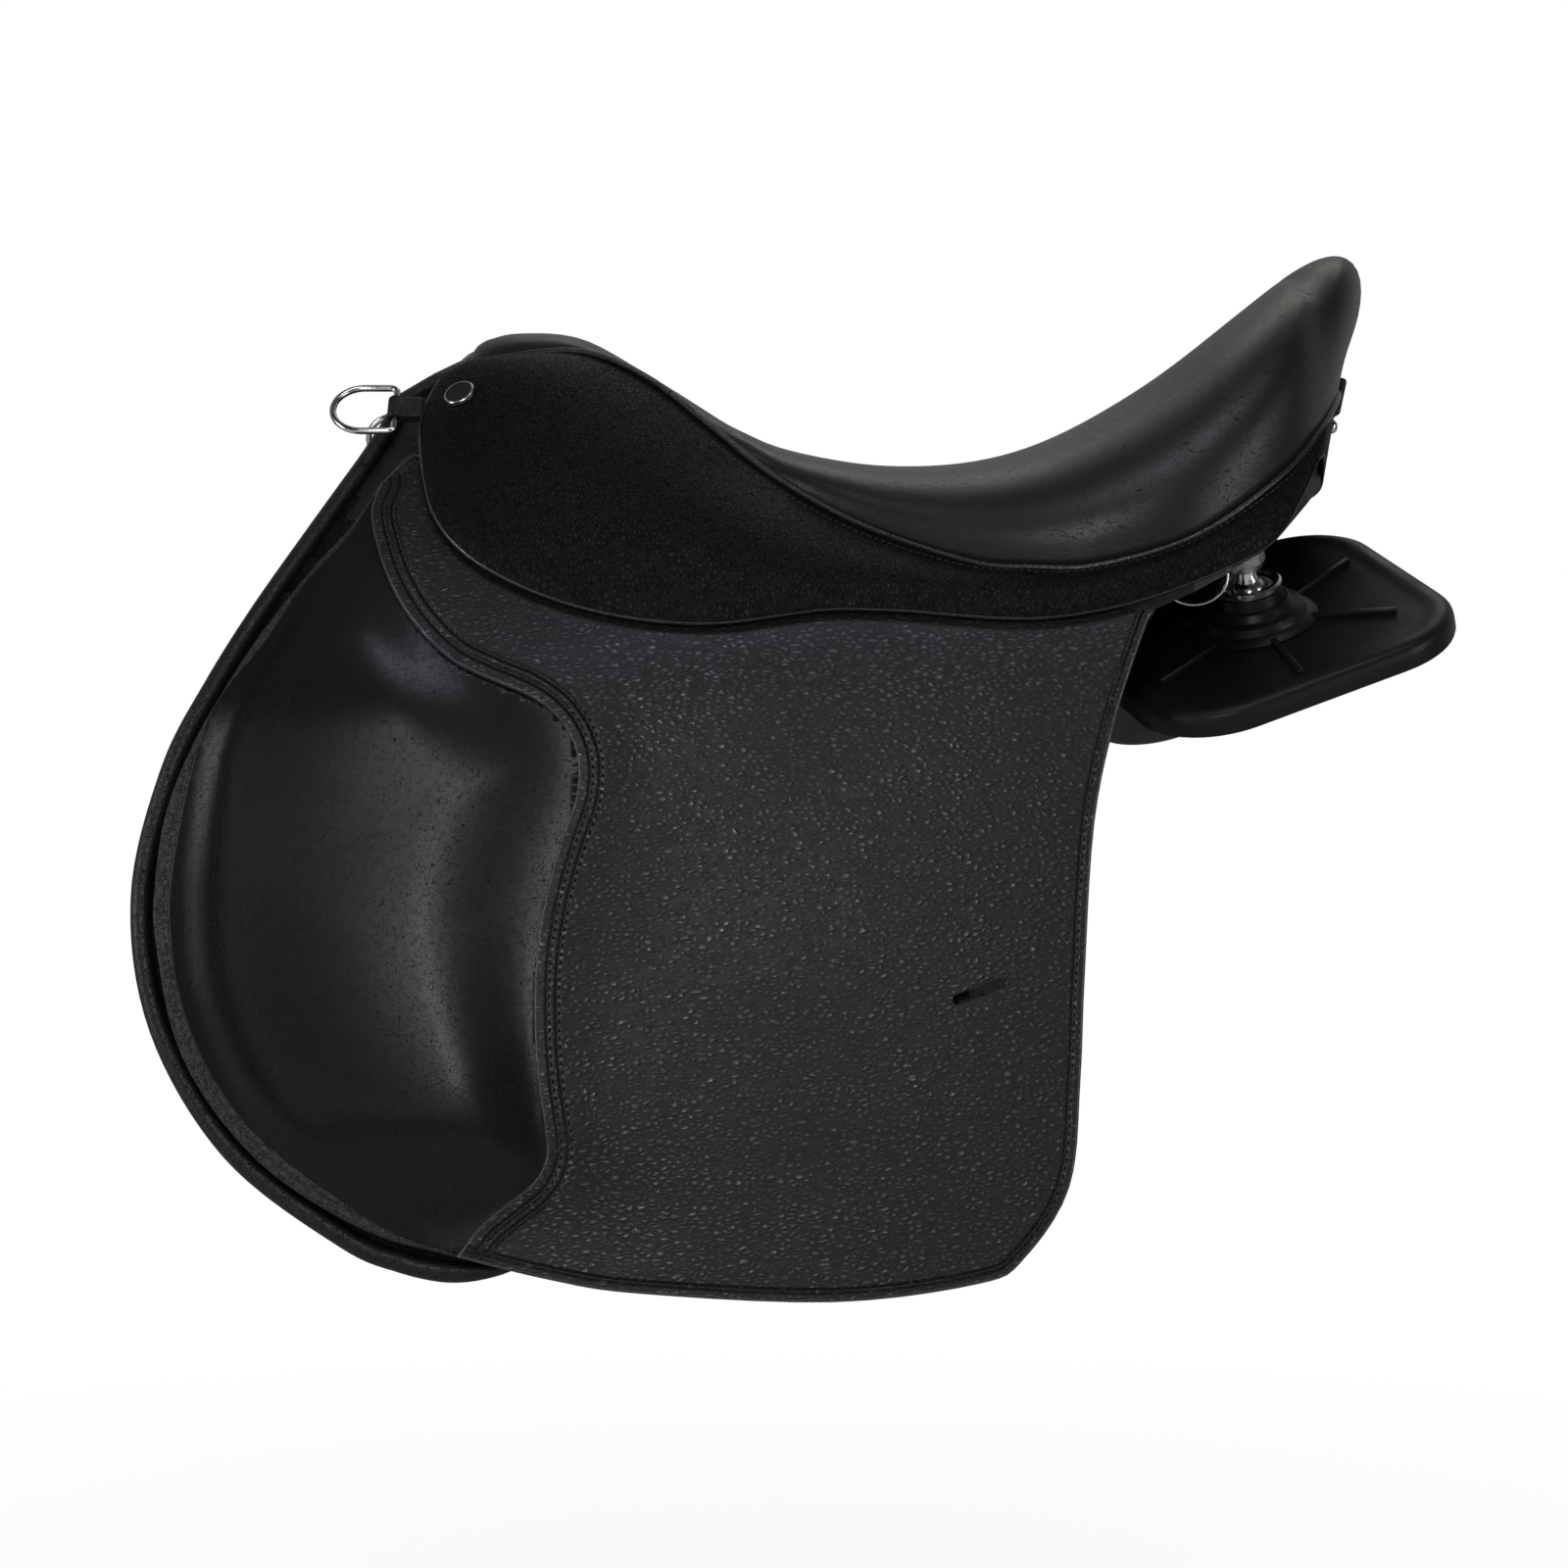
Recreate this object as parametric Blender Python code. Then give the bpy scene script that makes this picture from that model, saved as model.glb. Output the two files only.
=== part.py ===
"""Close-contact English saddle whose tree rides on four ball-jointed support plates.

The saddle is symmetric about the XZ plane. +X points to the cantle, -Y is the near side.
All sizes below are in millimetres and are turned into metres when a mesh is made.
"""
import math

import bpy
import bmesh
from mathutils import Matrix, Vector

MM = 0.001
gap = 0.3                      # clearance between two pieces that touch

# side surface of the saddle, as half-widths from the symmetry plane
side_half_width = 168.0        # at the height of the origin
side_flare = 0.14              # widening per mm downwards
side_lean = 0.70               # extra narrowing per mm above the bend
side_bend_radius = 18.0
bend_height_front = 70.0
bend_height_rear = 80.0
bend_reach = 150.0

# layers on the side surface, inner and outer distance from it
sweat_in, sweat_thick = -16.4, 3.7
billet_thick = 4.0
lining_thick = 2.0
panel_thick = 2.5
tree_wall = 7.0
strap_thick = 4.0
skirt_thick = 3.5
skirt_drop = 1.2               # top edge of the skirt under the welt
skirt_out, skirt_bulge = 7.0, 0.125         # inner face over the side surface, and its swell
tree_ease = 0.5                # tree face below the layers that lie on it

# seat
seat_front_x, seat_rear_x = -125.0, 245.0    # where the fans of the seat start and end
cover_thick = 2.0
foam_ease = 1.3                # foam skin below the cover, past the usual gap
foam_clearance, foam_least = 4.0, 3.0        # over the tree, and at the thin edge
rim_ledge, cantle_ledge = 2.0, 14.0          # foam stays this far inside the skirt's top edge

# flap and skirt bends
flap_bend_z = 66.0
flap_axis_y = 160.0
skirt_bend_front = (-172.0, 160.0)
skirt_bend_rear = (27.0, 73.0)
skirt_bend_out = 30.0

# support plates
plate_size = 160.0
plate_corner = 42.0
plate_thick = 13.0
plate_drop = 14.0              # ball centre down to the top of the plate
rib_count = 6
rib_high, rib_wide, rib_reach = 3.0, 3.4, 76.0
ball_radius = 9.0
ball_play = 0.65               # lets the faceted ball and cup turn freely
liner_wall = 2.2
liner_degrees = (20, -15, -40, -65, -90)      # latitudes of the liner and its socket
plate_angles = (0, 20, 36, 45, 54, 70)
stud_neck, stud_shank = 4.5, 4.0
stud_flange_radius, stud_flange_low, stud_flange_high = 8.5, 14.0, 17.0
stud_length = 26.0
boss_radius = 10.0

# straps, rings and fittings
billet_wide = 27.0
billet_tops_z, billet_ends_z = 70.0, -196.0
billet_hole, billet_hole_pitch, billet_hole_count = 3.0, 25.0, 5
billet_front_x, billet_rear_x = 4.0, 71.0
roll_radius = 5.2
front_ring_wire, front_ring_reach, front_ring_height = 1.65, 30.0, 29.0
rear_ring_wire, rear_ring_reach, rear_ring_height = 1.35, 16.5, 31.0
bar_at = (-102.0, 130.0)
bar_length, bar_high, bar_gap, blade_thick, catch_thick = 92.0, 12.0, 7.4, 3.5, 1.6
badge_radius, badge_thick, badge_lift = 7.5, 2.0, 0.8
badge_cell = (2, 3)
facing_thick, facing_edge_out = 4.0, -11.0
facing_low_z = 150.0
facing_edge = ((-204, 149), (-196, 162), (-186.5, 178), (-181, 187), (-176, 197), (-168, 212))
facing_crest = [(-161, -20, 212.5), (-156.5, -8, 215), (-155.5, 0, 215.5)]
front_ring_at = (-186.0, 174.0)
rear_ring_at = (192.0, -115.0, 100.5)
cantle_strap_at = (277.2, 0.0, 192.0)
cantle_stud_at = (273.6, 0.0, 178.5)
slot_long, slot_wide = 25.4, 4.8

materials = {
    "grain_leather": ((0.016, 0.016, 0.018), 0.55, 0.0),
    "smooth_leather": ((0.014, 0.013, 0.013), 0.38, 0.0),
    "bridle_leather": ((0.018, 0.017, 0.017), 0.45, 0.0),
    "foam": ((0.55, 0.52, 0.42), 0.95, 0.0),
    "tree_plastic": ((0.03, 0.03, 0.032), 0.5, 0.0),
    "rubber": ((0.02, 0.02, 0.021), 0.6, 0.0),
    "steel": ((0.72, 0.71, 0.69), 0.22, 1.0),
    "nylon": ((0.75, 0.75, 0.72), 0.5, 0.0),
}


def smoothstep(value):
    value = max(0.0, min(1.0, value))
    return value * value * (3.0 - 2.0 * value)


def spline(points, steps, closed=False):
    """Catmull-Rom curve through points of any dimension."""
    count = len(points)
    result = []
    spans = count if closed else count - 1
    for span in range(spans):
        if closed:
            p0, p1, p2, p3 = (points[(span + shift) % count] for shift in (-1, 0, 1, 2))
        else:
            p1, p2 = points[span], points[span + 1]
            p0 = points[span - 1] if span else [2 * a - b for a, b in zip(p1, p2)]
            p3 = points[span + 2] if span + 2 < count else [2 * b - a for a, b in zip(p1, p2)]
        for step in range(steps):
            t = step / steps
            result.append(tuple(
                0.5 * (2 * b + (c - a) * t + (2 * a - 5 * b + 4 * c - d) * t * t
                       + (3 * b - a - 3 * c + d) * t ** 3)
                for a, b, c, d in zip(p0, p1, p2, p3)))
    if not closed:
        result.append(tuple(points[-1]))
    return result


def at_shares(points, shares):
    """Points of a polyline at shares of its length."""
    lengths = [0.0]
    for a, b in zip(points, points[1:]):
        lengths.append(lengths[-1] + math.dist(a, b))
    result = []
    span = 0
    for share in shares:
        target = lengths[-1] * share
        while span < len(points) - 2 and lengths[span + 1] < target:
            span += 1
        part = (target - lengths[span]) / max(lengths[span + 1] - lengths[span], 1e-9)
        result.append(tuple(a + (b - a) * part for a, b in zip(points[span], points[span + 1])))
    return result


def resample(points, count):
    """Evenly spaced points along a polyline."""
    return at_shares(points, [index / (count - 1) for index in range(count)])


def interpolate(table, x):
    """Value at x of a piecewise linear table of (x, value)."""
    if x <= table[0][0]:
        return table[0][1]
    for (x0, v0), (x1, v1) in zip(table, table[1:]):
        if x <= x1:
            return v0 + (v1 - v0) * (x - x0) / (x1 - x0)
    return table[-1][1]


def half_width(x, z):
    bend = bend_height_front + (bend_height_rear - bend_height_front) * smoothstep(x / bend_reach)
    soft = side_bend_radius * math.log(1 + math.exp((z - bend) / side_bend_radius))
    return side_half_width - side_flare * z - side_lean * soft


def side_normal(x, z):
    e = 0.5
    slope_x = (half_width(x + e, z) - half_width(x - e, z)) / (2 * e)
    slope_z = (half_width(x, z + e) - half_width(x, z - e)) / (2 * e)
    return Vector((-slope_x, -1.0, -slope_z)).normalized()


def side_point(x, z, out):
    """Point of the near side surface, moved out along its normal."""
    return Vector((x, -half_width(x, z), z)) + side_normal(x, z) * out


def add_object(name, verts, faces, material, flip=False, pivot=(0, 0, 0), parent=None,
               smooth=True):
    """Make a mesh object from points in mm; flip mirrors it to the far side."""
    mesh = bpy.data.meshes.new(name)
    bm = bmesh.new()
    pivot = Vector(pivot)
    sign = -1 if flip else 1
    made = [bm.verts.new(((v[0] - pivot[0]) * MM, (v[1] - pivot[1]) * sign * MM,
                          (v[2] - pivot[2]) * MM)) for v in verts]
    for face in faces:
        bm.faces.new([made[i] for i in (reversed(face) if flip else face)])
    bmesh.ops.recalc_face_normals(bm, faces=bm.faces)
    bm.to_mesh(mesh)
    bm.free()
    if smooth:
        mesh.shade_smooth()
        mesh.set_sharp_from_angle(angle=math.radians(35))
    colour, roughness, metallic = materials[material]
    surface = bpy.data.materials.get(name) or bpy.data.materials.new(name)
    surface.use_nodes = True
    shader = surface.node_tree.nodes["Principled BSDF"]
    shader.inputs["Base Color"].default_value = (*colour, 1.0)
    shader.inputs["Roughness"].default_value = roughness
    shader.inputs["Metallic"].default_value = metallic
    mesh.materials.append(surface)
    made_object = bpy.data.objects.new(name, mesh)
    made_object.location = (pivot[0] * MM, pivot[1] * sign * MM, pivot[2] * MM)
    bpy.context.collection.objects.link(made_object)
    if parent:
        made_object.parent = parent
    return made_object


def halves(a, b, c, d):
    """Two triangles of a quad, split the same way on every layer."""
    return [(a, b, c), (a, c, d)]


def grid_shell(outer, inner):
    """Closed shell from two grids of points of the same size."""
    rows, columns = len(outer), len(outer[0])
    verts = [p for row in outer for p in row] + [p for row in inner for p in row]
    shift = rows * columns
    faces = []
    for r in range(rows - 1):
        for c in range(columns - 1):
            a, b = r * columns + c, r * columns + c + 1
            d, e = a + columns, b + columns
            faces += halves(a, b, e, d)
            faces += [[i + shift for i in face[::-1]] for face in halves(a, b, e, d)]
    for c in range(columns - 1):
        a, b = c, c + 1
        faces.append((a, a + shift, b + shift, b))
        a, b = (rows - 1) * columns + c, (rows - 1) * columns + c + 1
        faces.append((a, b, b + shift, a + shift))
    for r in range(rows - 1):
        a, b = r * columns, (r + 1) * columns
        faces.append((a, b, b + shift, a + shift))
        a, b = a + columns - 1, b + columns - 1
        faces.append((a, a + shift, b + shift, b))
    return verts, faces


def sheet(outline, cuts_x, cuts_z, low, high):
    """Closed sheet on the side surface, from a flat (x, z) outline.

    low and high give the distance of its two faces from the surface, as numbers or functions.
    """
    bm = bmesh.new()
    bm.faces.new([bm.verts.new((x, 0, z)) for x, z in outline])
    for axis, cuts in ((Vector((1, 0, 0)), cuts_x), (Vector((0, 0, 1)), cuts_z)):
        for cut in cuts:
            bmesh.ops.bisect_plane(bm, geom=bm.verts[:] + bm.edges[:] + bm.faces[:],
                                   dist=1e-4, plane_co=axis * cut, plane_no=axis)
    bmesh.ops.triangulate(bm, faces=[f for f in bm.faces if len(f.verts) > 4])
    bm.verts.index_update()
    low_at = low if callable(low) else lambda x, z: low
    high_at = high if callable(high) else lambda x, z: high
    flat = [(v.co.x, v.co.z) for v in bm.verts]
    verts = [side_point(x, z, high_at(x, z)) for x, z in flat]
    verts += [side_point(x, z, low_at(x, z)) for x, z in flat]
    shift = len(flat)
    faces = []
    for f in bm.faces:
        ring = [v.index for v in f.verts]
        faces.append(ring)
        faces.append([i + shift for i in reversed(ring)])
    for e in bm.edges:
        if len(e.link_faces) == 1:
            a, b = e.verts[0].index, e.verts[1].index
            faces.append((a, b, b + shift, a + shift))
    bm.free()
    return verts, faces


def cut_solid(verts, faces, point, normal):
    """Part of a closed solid behind a plane, with its cut face closed."""
    bm = bmesh.new()
    made = [bm.verts.new(v) for v in verts]
    for face in faces:
        bm.faces.new([made[i] for i in face])
    bmesh.ops.recalc_face_normals(bm, faces=bm.faces)
    cut = bmesh.ops.bisect_plane(bm, geom=bm.verts[:] + bm.edges[:] + bm.faces[:], dist=1e-4,
                                 plane_co=point, plane_no=normal, clear_outer=True)
    edges = [e for e in cut["geom_cut"] if isinstance(e, bmesh.types.BMEdge)]
    bmesh.ops.holes_fill(bm, edges=edges, sides=0)
    bm.verts.index_update()
    result = [v.co.copy() for v in bm.verts], [[v.index for v in f.verts] for f in bm.faces]
    bm.free()
    return result


def frame_at(axis, hint=(1, 0, 0)):
    """Rotation whose Z is axis and whose X is as near to hint as can be."""
    z = Vector(axis).normalized()
    x = (Vector(hint) - z * Vector(hint).dot(z)).normalized()
    return Matrix((x, z.cross(x), z)).transposed()


def revolve(profile, steps=16, centre=(0, 0, 0), turn=Matrix.Identity(3), closed=False):
    """Solid turned about local Z; profile is (radius, height), poles at radius 0."""
    verts, rings = [], []
    for radius, height in profile:
        if radius < 1e-6:
            rings.append([len(verts)])
            verts.append(Vector((0, 0, height)))
            continue
        rings.append(list(range(len(verts), len(verts) + steps)))
        for step in range(steps):
            angle = 2 * math.pi * step / steps
            verts.append(Vector((radius * math.cos(angle), radius * math.sin(angle), height)))
    pairs = list(zip(rings, rings[1:])) + ([(rings[-1], rings[0])] if closed else [])
    faces = []
    for low, high in pairs:
        for step in range(steps):
            nxt = (step + 1) % steps
            if len(low) == 1:
                faces.append((low[0], high[nxt], high[step]))
            elif len(high) == 1:
                faces.append((low[step], low[nxt], high[0]))
            else:
                faces.append((low[step], low[nxt], high[nxt], high[step]))
    return [turn @ v + Vector(centre) for v in verts], faces


def tube(path, radius, sides=8, closed=False, up=(0, 1, 0), squash=1.0):
    """Tube along a path, with closed ends; squash flattens it across up."""
    path = [Vector(p) for p in path]
    count = len(path)
    verts, faces = [], []
    for index, point in enumerate(path):
        if closed:
            along = path[(index + 1) % count] - path[index - 1]
        else:
            along = path[min(index + 1, count - 1)] - path[max(index - 1, 0)]
        along.normalize()
        side = along.cross(Vector(up)).normalized()
        top = side.cross(along)
        for step in range(sides):
            angle = 2 * math.pi * (step + 0.5) / sides
            verts.append(point + side * radius * math.cos(angle)
                         + top * radius * squash * math.sin(angle))
    for index in range(count if closed else count - 1):
        a, b = index * sides, (index + 1) % count * sides
        for step in range(sides):
            nxt = (step + 1) % sides
            faces.append((a + step, a + nxt, b + nxt, b + step))
    if not closed:
        faces.append(list(range(sides - 1, -1, -1)))
        faces.append(list(range((count - 1) * sides, count * sides)))
    return verts, faces


def boolean(target, cutter, operation):
    """Apply an exact Boolean with another object, which is then removed."""
    modifier = target.modifiers.new("cut", "BOOLEAN")
    modifier.solver = "EXACT"
    modifier.operation = operation
    modifier.object = cutter
    bpy.context.view_layer.update()
    graph = bpy.context.evaluated_depsgraph_get()
    mesh = bpy.data.meshes.new_from_object(target.evaluated_get(graph))
    target.modifiers.remove(modifier)
    bm = bmesh.new()
    bm.from_mesh(mesh)
    bmesh.ops.remove_doubles(bm, verts=bm.verts, dist=0.002 * MM)
    bmesh.ops.dissolve_degenerate(bm, edges=bm.edges, dist=0.002 * MM)
    bm.to_mesh(mesh)
    bm.free()
    target.data = mesh
    bpy.data.objects.remove(cutter)
    return target


# seat: welt line between seat and skirt, front centre to rear centre on the near side
welt_points = [(-150, 0, 216), (-154, -28, 210), (-155.4, -44, 204.6), (-141.6, -49, 206.4),
               (-114.2, -53, 209.8), (-96.4, -56, 208.9), (-80.5, -60, 203.7),
               (-60.5, -65, 192.3), (-36.2, -76, 172.3), (-6.1, -90, 147.2), (35.9, -109, 122.1),
               (85.7, -128, 103.5), (113.4, -136, 100.3), (145.1, -142, 100.8),
               (190.5, -141, 114.5), (231.9, -122, 143.6), (253.5, -96, 167.1),
               (268, -55, 187), (275, 0, 196)]
# height of the seat on the symmetry plane
seat_line = [(-150, 217), (-137, 222.8), (-117.5, 224.8), (-98, 221.8), (-78.4, 209.6),
             (-49, 191), (-29.4, 178.7), (0, 165.5), (29.4, 159.2), (49, 157.2), (78.4, 157.7),
             (107.7, 162.6), (137.1, 173.8), (171.4, 193.4), (195.9, 210.6), (220.4, 230.2),
             (245, 249.7)]
# sections from the welt (1, 0) to the middle line (0, 1): share of reach, share of height
section_side = [(1, 0), (1.02, 0.2), (0.99, 0.42), (0.9, 0.63), (0.74, 0.8), (0.5, 0.92),
                (0.25, 0.98), (0, 1)]
section_rear = [(1, 0), (1.15, 0.32), (1.38, 0.62), (1.48, 0.98), (1.36, 1.17), (1.02, 1.245),
                (0.55, 1.17), (0, 1)]
# lower edge of the skirt on the side surface, front to rear
skirt_edge = [(-154.1, 197.2), (-165.4, 188.9), (-172, 172.4), (-172.7, 157.1), (-164.8, 122.6),
              (-144.9, 98.9), (-107.9, 80.8), (-67.2, 71.3), (-26.9, 69.5), (18.3, 75.2),
              (58.8, 74.7), (111.9, 71.8), (159.6, 78.9), (208.4, 96.1), (232.2, 112.6),
              (254.4, 150)]
# crown height of the tree under the seat
crown_line = [(-140, 203), (-110, 206), (-90, 200), (-60, 182), (-30, 166), (0, 149), (40, 138),
              (80, 137), (120, 142), (160, 156), (200, 176), (225, 184), (256, 188)]
# lower edge of the tree
rail_line = [(-140, 60), (-110, 52), (140, 52), (150, 60), (165, 78), (190, 89), (205, 97),
             (220, 107), (235, 119), (256, 142)]
tree_front_x, tree_rear_x = -140.0, 256.0
tree_stations = [tree_front_x, -125, -110, -95, -80, -55, -30, 0, 35, 70, 105, 140, 150, 165,
                 190, 205, 220, 235, 247, tree_rear_x]
gullet_stations, bridge_stations = tree_stations[2:5], tree_stations[15:17]
rail_top_drop = 22.0
rail_points = 5

welt = resample(spline(welt_points, 8), 61)
seat_curve = spline(seat_line, 6)


def seat_height(x):
    return interpolate(seat_curve, x)


def welt_at(x):
    """Welt point above a station x of the tree."""
    for a, b in zip(welt[6:], welt[7:]):
        if a[0] <= x <= b[0]:
            part = (x - a[0]) / (b[0] - a[0])
            return tuple(p + (q - p) * part for p, q in zip(a, b))
    return welt[-1] if x > 0 else welt[6]


seat_stride = 3
section_shares = (0, 0.06, 0.2, 0.35, 0.5, 0.66, 0.83, 1)
foam_first = 2                 # the foam starts at this share of each section
low_section = 14.0             # sections lower than this have a straight edge
rim_rise = 0.25                # least rise of the cover's inner face from point to point


def seat_section(index, depth):
    """Section of the seat over one welt point, depth below its outer skin."""
    wx, wy, wz = welt[index]
    kx = max(seat_front_x, min(seat_rear_x, wx))
    reach = Vector((wx - kx, wy, 0))
    high = seat_height(kx) - wz
    rear = smoothstep(1.05 - abs(wy) / 95) if wx > 200 else 0.0
    section = [tuple(a + (b - a) * rear for a, b in zip(p, q))
               for p, q in zip(section_side, section_rear)]
    fullness = smoothstep((high - low_section) / low_section)
    points = [Vector((kx, 0, wz)) + reach * (a if a < 1 else 1 + (a - 1) * fullness)
              + Vector((0, 0, high * b))
              for a, b in at_shares(spline(section, 4), section_shares)]
    if not depth:
        return points
    outward = reach.normalized()
    count = len(points)
    moved = []
    for i, point in enumerate(points):
        along = points[min(i + 1, count - 1)] - points[max(i - 1, 0)]
        flat = along.dot(outward)
        normal = outward * along.z - Vector((0, 0, 1)) * flat
        if i == count - 1:
            normal = Vector((0, 0, 1))
        steep = point - normal.normalized() * depth
        flat_way = point - (outward + Vector((0, 0, 1 if i else 0))) * depth
        if i == count - 1:
            flat_way = steep
        inner = flat_way.lerp(steep, fullness)
        inner.z = max(inner.z, wz + rim_rise * i - (depth - cover_thick))
        moved.append(inner)
    return moved


def seat_stations():
    """Welt indices of the seat's sections, front centre to rear centre."""
    return list(range(0, len(welt), seat_stride))


def seat_skin(points_of, middle_of):
    """Skin over the whole seat: near sections, far ones and a shared middle line."""
    stations = seat_stations()
    near = [points_of(i) for i in stations]
    far = [[Vector((p.x, -p.y, p.z)) for p in row] for row in near]
    ring = near + far[-2:0:-1]
    rows, total, ends = len(near[0]), len(ring), len(stations) - 1
    verts = [p for row in ring for p in row]
    faces = []
    spine = []
    for index, station in enumerate(stations):
        point = middle_of(station)
        if index and (point - verts[spine[-1]]).length < 0.5:
            spine.append(spine[-1])
        else:
            spine.append(len(verts))
            verts.append(point)
    for s in range(total):
        t = (s + 1) % total
        for r in range(rows - 1):
            faces += halves(s * rows + r, t * rows + r, t * rows + r + 1, s * rows + r + 1)
        a = spine[s if s <= ends else total - s]
        b = spine[t if t <= ends else total - t]
        top_a, top_b = s * rows + rows - 1, t * rows + rows - 1
        faces += halves(top_a, top_b, b, a) if a != b else [(top_a, top_b, a)]
    return verts, faces, [s * rows for s in range(total)]


def close_skins(top, bottom):
    """Closed solid from two skins of the same layout."""
    verts = top[0] + bottom[0]
    shift = len(top[0])
    faces = top[1] + [[i + shift for i in reversed(face)] for face in bottom[1]]
    rim = top[2]
    for a, b in zip(rim, rim[1:] + rim[:1]):
        faces.append([a, a + shift, b + shift, b])
    return verts, faces


def seat_middle(station, depth):
    kx = max(seat_front_x, min(seat_rear_x, welt[station][0]))
    return Vector((kx, 0, seat_height(kx) - depth))


def build_seat():
    """Leather cover, and the foam between it and the tree."""
    def skin(depth, first):
        return seat_skin(lambda i: seat_section(i, depth)[first:-1],
                         lambda i: seat_middle(i, depth))

    add_object("seat_cover", *close_skins(skin(0.0, 0), skin(cover_thick, 0)), "smooth_leather")
    depth = cover_thick + gap + foam_ease

    def on_tree(point):
        """Foam floor under a point of its skin, kept inside the skirt's top edge."""
        floor = point.z - foam_least
        if point.x > tree_front_x:
            floor = min(floor, tree_top(point.x, point.y) + foam_clearance)
        return Vector((point.x, point.y, floor))

    def floor_row(station):
        row = seat_section(station, depth)[foam_first:]
        middle = Vector((row[-1].x, 0, 0))
        ledge = cantle_ledge if welt[station][0] > seat_rear_x else rim_ledge
        reach = (Vector(welt[station]) - middle).xy.length - skirt_thick - ledge
        result = []
        first = Vector((row[0].x, row[0].y, 0)) - middle
        rim = first * min(1.0, reach / first.length)
        for number, point in enumerate(row[:-1]):
            away = middle + rim * (1 - number / (len(row) - 1))
            point = on_tree(Vector((away.x, away.y, point.z)))
            if welt[station][0] > seat_rear_x:
                point.z = max(point.z, welt[station][2] + gap)
            result.append(point)
        return result

    floor = seat_skin(floor_row, lambda i: on_tree(seat_middle(i, depth)))
    add_object("seat_foam", *close_skins(skin(depth, foam_first), floor), "foam")


def tree_top(x, y):
    """Height of the tree's upper face at a point under the seat."""
    x = max(tree_front_x, min(tree_rear_x, x))
    before = max(s for s in tree_stations if s <= x)
    after = min((s for s in tree_stations if s > x), default=before)
    part = (x - before) / (after - before) if after > before else 0.0
    section = [p.lerp(q, part) for p, q in zip(tree_section(before, 0.0), tree_section(after, 0.0))]
    return interpolate([(p.y, p.z) for p in section[rail_points:]], -abs(y))


def tree_section(x, depth):
    """Half section of the tree at x, lower rail edge to crown, near side."""
    wx, wy, wz = welt_at(x)
    low, mid = interpolate(rail_line, x), wz - rail_top_drop
    crown = interpolate(crown_line, x)
    rail = [low + (mid - low) * part / (rail_points - 1) for part in range(rail_points)]
    tuck = smoothstep((x - 120) / 40)
    points = []
    for z in rail:
        flat = -half_width(x, z) + gap + tree_ease
        points.append(Vector((x, flat + (wy + 6.5 - flat) * tuck, z)))
    shoulder = Vector((x, wy + 8.5, wz - 8.0))
    points.append(shoulder)
    for part in (0.3, 0.62, 1.0):
        rise = math.sin(part * math.pi / 2) ** 1.3
        points.append(Vector((x, shoulder.y * (1 - part), shoulder.z + (crown - shoulder.z) * rise)))
    if not depth:
        return points
    moved = []
    for i, point in enumerate(points):
        along = points[min(i + 1, len(points) - 1)] - points[max(i - 1, 0)]
        normal = Vector((0, -along.z, along.y)).normalized()
        if i == len(points) - 1:
            normal = Vector((0, 0, 1))
        moved.append(point - normal * depth)
    return moved


def tree_shell(stations, depth, wall, first=0):
    """Shell following the tree's sections, depth below its outer face."""
    outer, inner = [], []
    for x in stations:
        for grid, inset in ((outer, depth), (inner, depth + wall)):
            near = tree_section(x, inset)[first:]
            far = [Vector((p.x, -p.y, p.z)) for p in near[-2::-1]]
            grid.append(near + far)
    return grid_shell(outer, inner)


def build_tree():
    verts, faces = tree_shell(tree_stations, 0.0, tree_wall)
    return add_object("tree", verts, faces, "tree_plastic")


# ball units: ball centre and plate normal on the near side
units = {
    "front": (Vector((-95, -88, 88)), Vector((0, -0.82, 0.572)), Vector((1, 0, 0))),
    "rear": (Vector((221.2, -94, 90.2)), Vector((-0.222, -0.438, 0.871)),
             Vector((0.921, 0.201, 0.336))),
}


def stud_profile():
    """Ball, neck, flange and shank of the ball stud, bottom to top."""
    profile = [(0, -ball_radius)]
    for degrees in (-65, -40, -15, 15, 40):
        angle = math.radians(degrees)
        profile.append((ball_radius * math.cos(angle), ball_radius * math.sin(angle)))
    profile += [(stud_neck, ball_radius * 0.9), (stud_neck, stud_flange_low),
                (stud_flange_radius, stud_flange_low), (stud_flange_radius, stud_flange_high),
                (stud_shank, stud_flange_high), (stud_shank, stud_length), (0, stud_length)]
    return profile


def liner_profile():
    """Cup round the lower half of the ball, open on top."""
    inner, outer = ball_radius + ball_play, ball_radius + ball_play + liner_wall
    points = [(outer * math.cos(math.radians(d)), outer * math.sin(math.radians(d)))
              for d in reversed(liner_degrees)]
    points += [(inner * math.cos(math.radians(d)), inner * math.sin(math.radians(d)))
               for d in liner_degrees]
    points[0] = (0, -outer)
    points[-1] = (0, -inner)
    return points


def rounded_square(size, corner):
    """Square with round corners, as points at the same angles for every size."""
    half = size / 2
    flat = half - corner
    points = []
    for quarter in range(4):
        for degrees in plate_angles:
            angle = math.radians(degrees)
            c, s = math.cos(angle), math.sin(angle)
            if s * half <= flat * c:
                x, y = half, half * s / c
            elif c * half <= flat * s:
                x, y = half * c / s, half
            else:
                along = flat * (c + s)
                reach = along + math.sqrt(along * along - 2 * flat * flat + corner * corner)
                x, y = reach * c, reach * s
            for turn in range(quarter):
                x, y = -y, x
            points.append((x, y))
    return points


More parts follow.
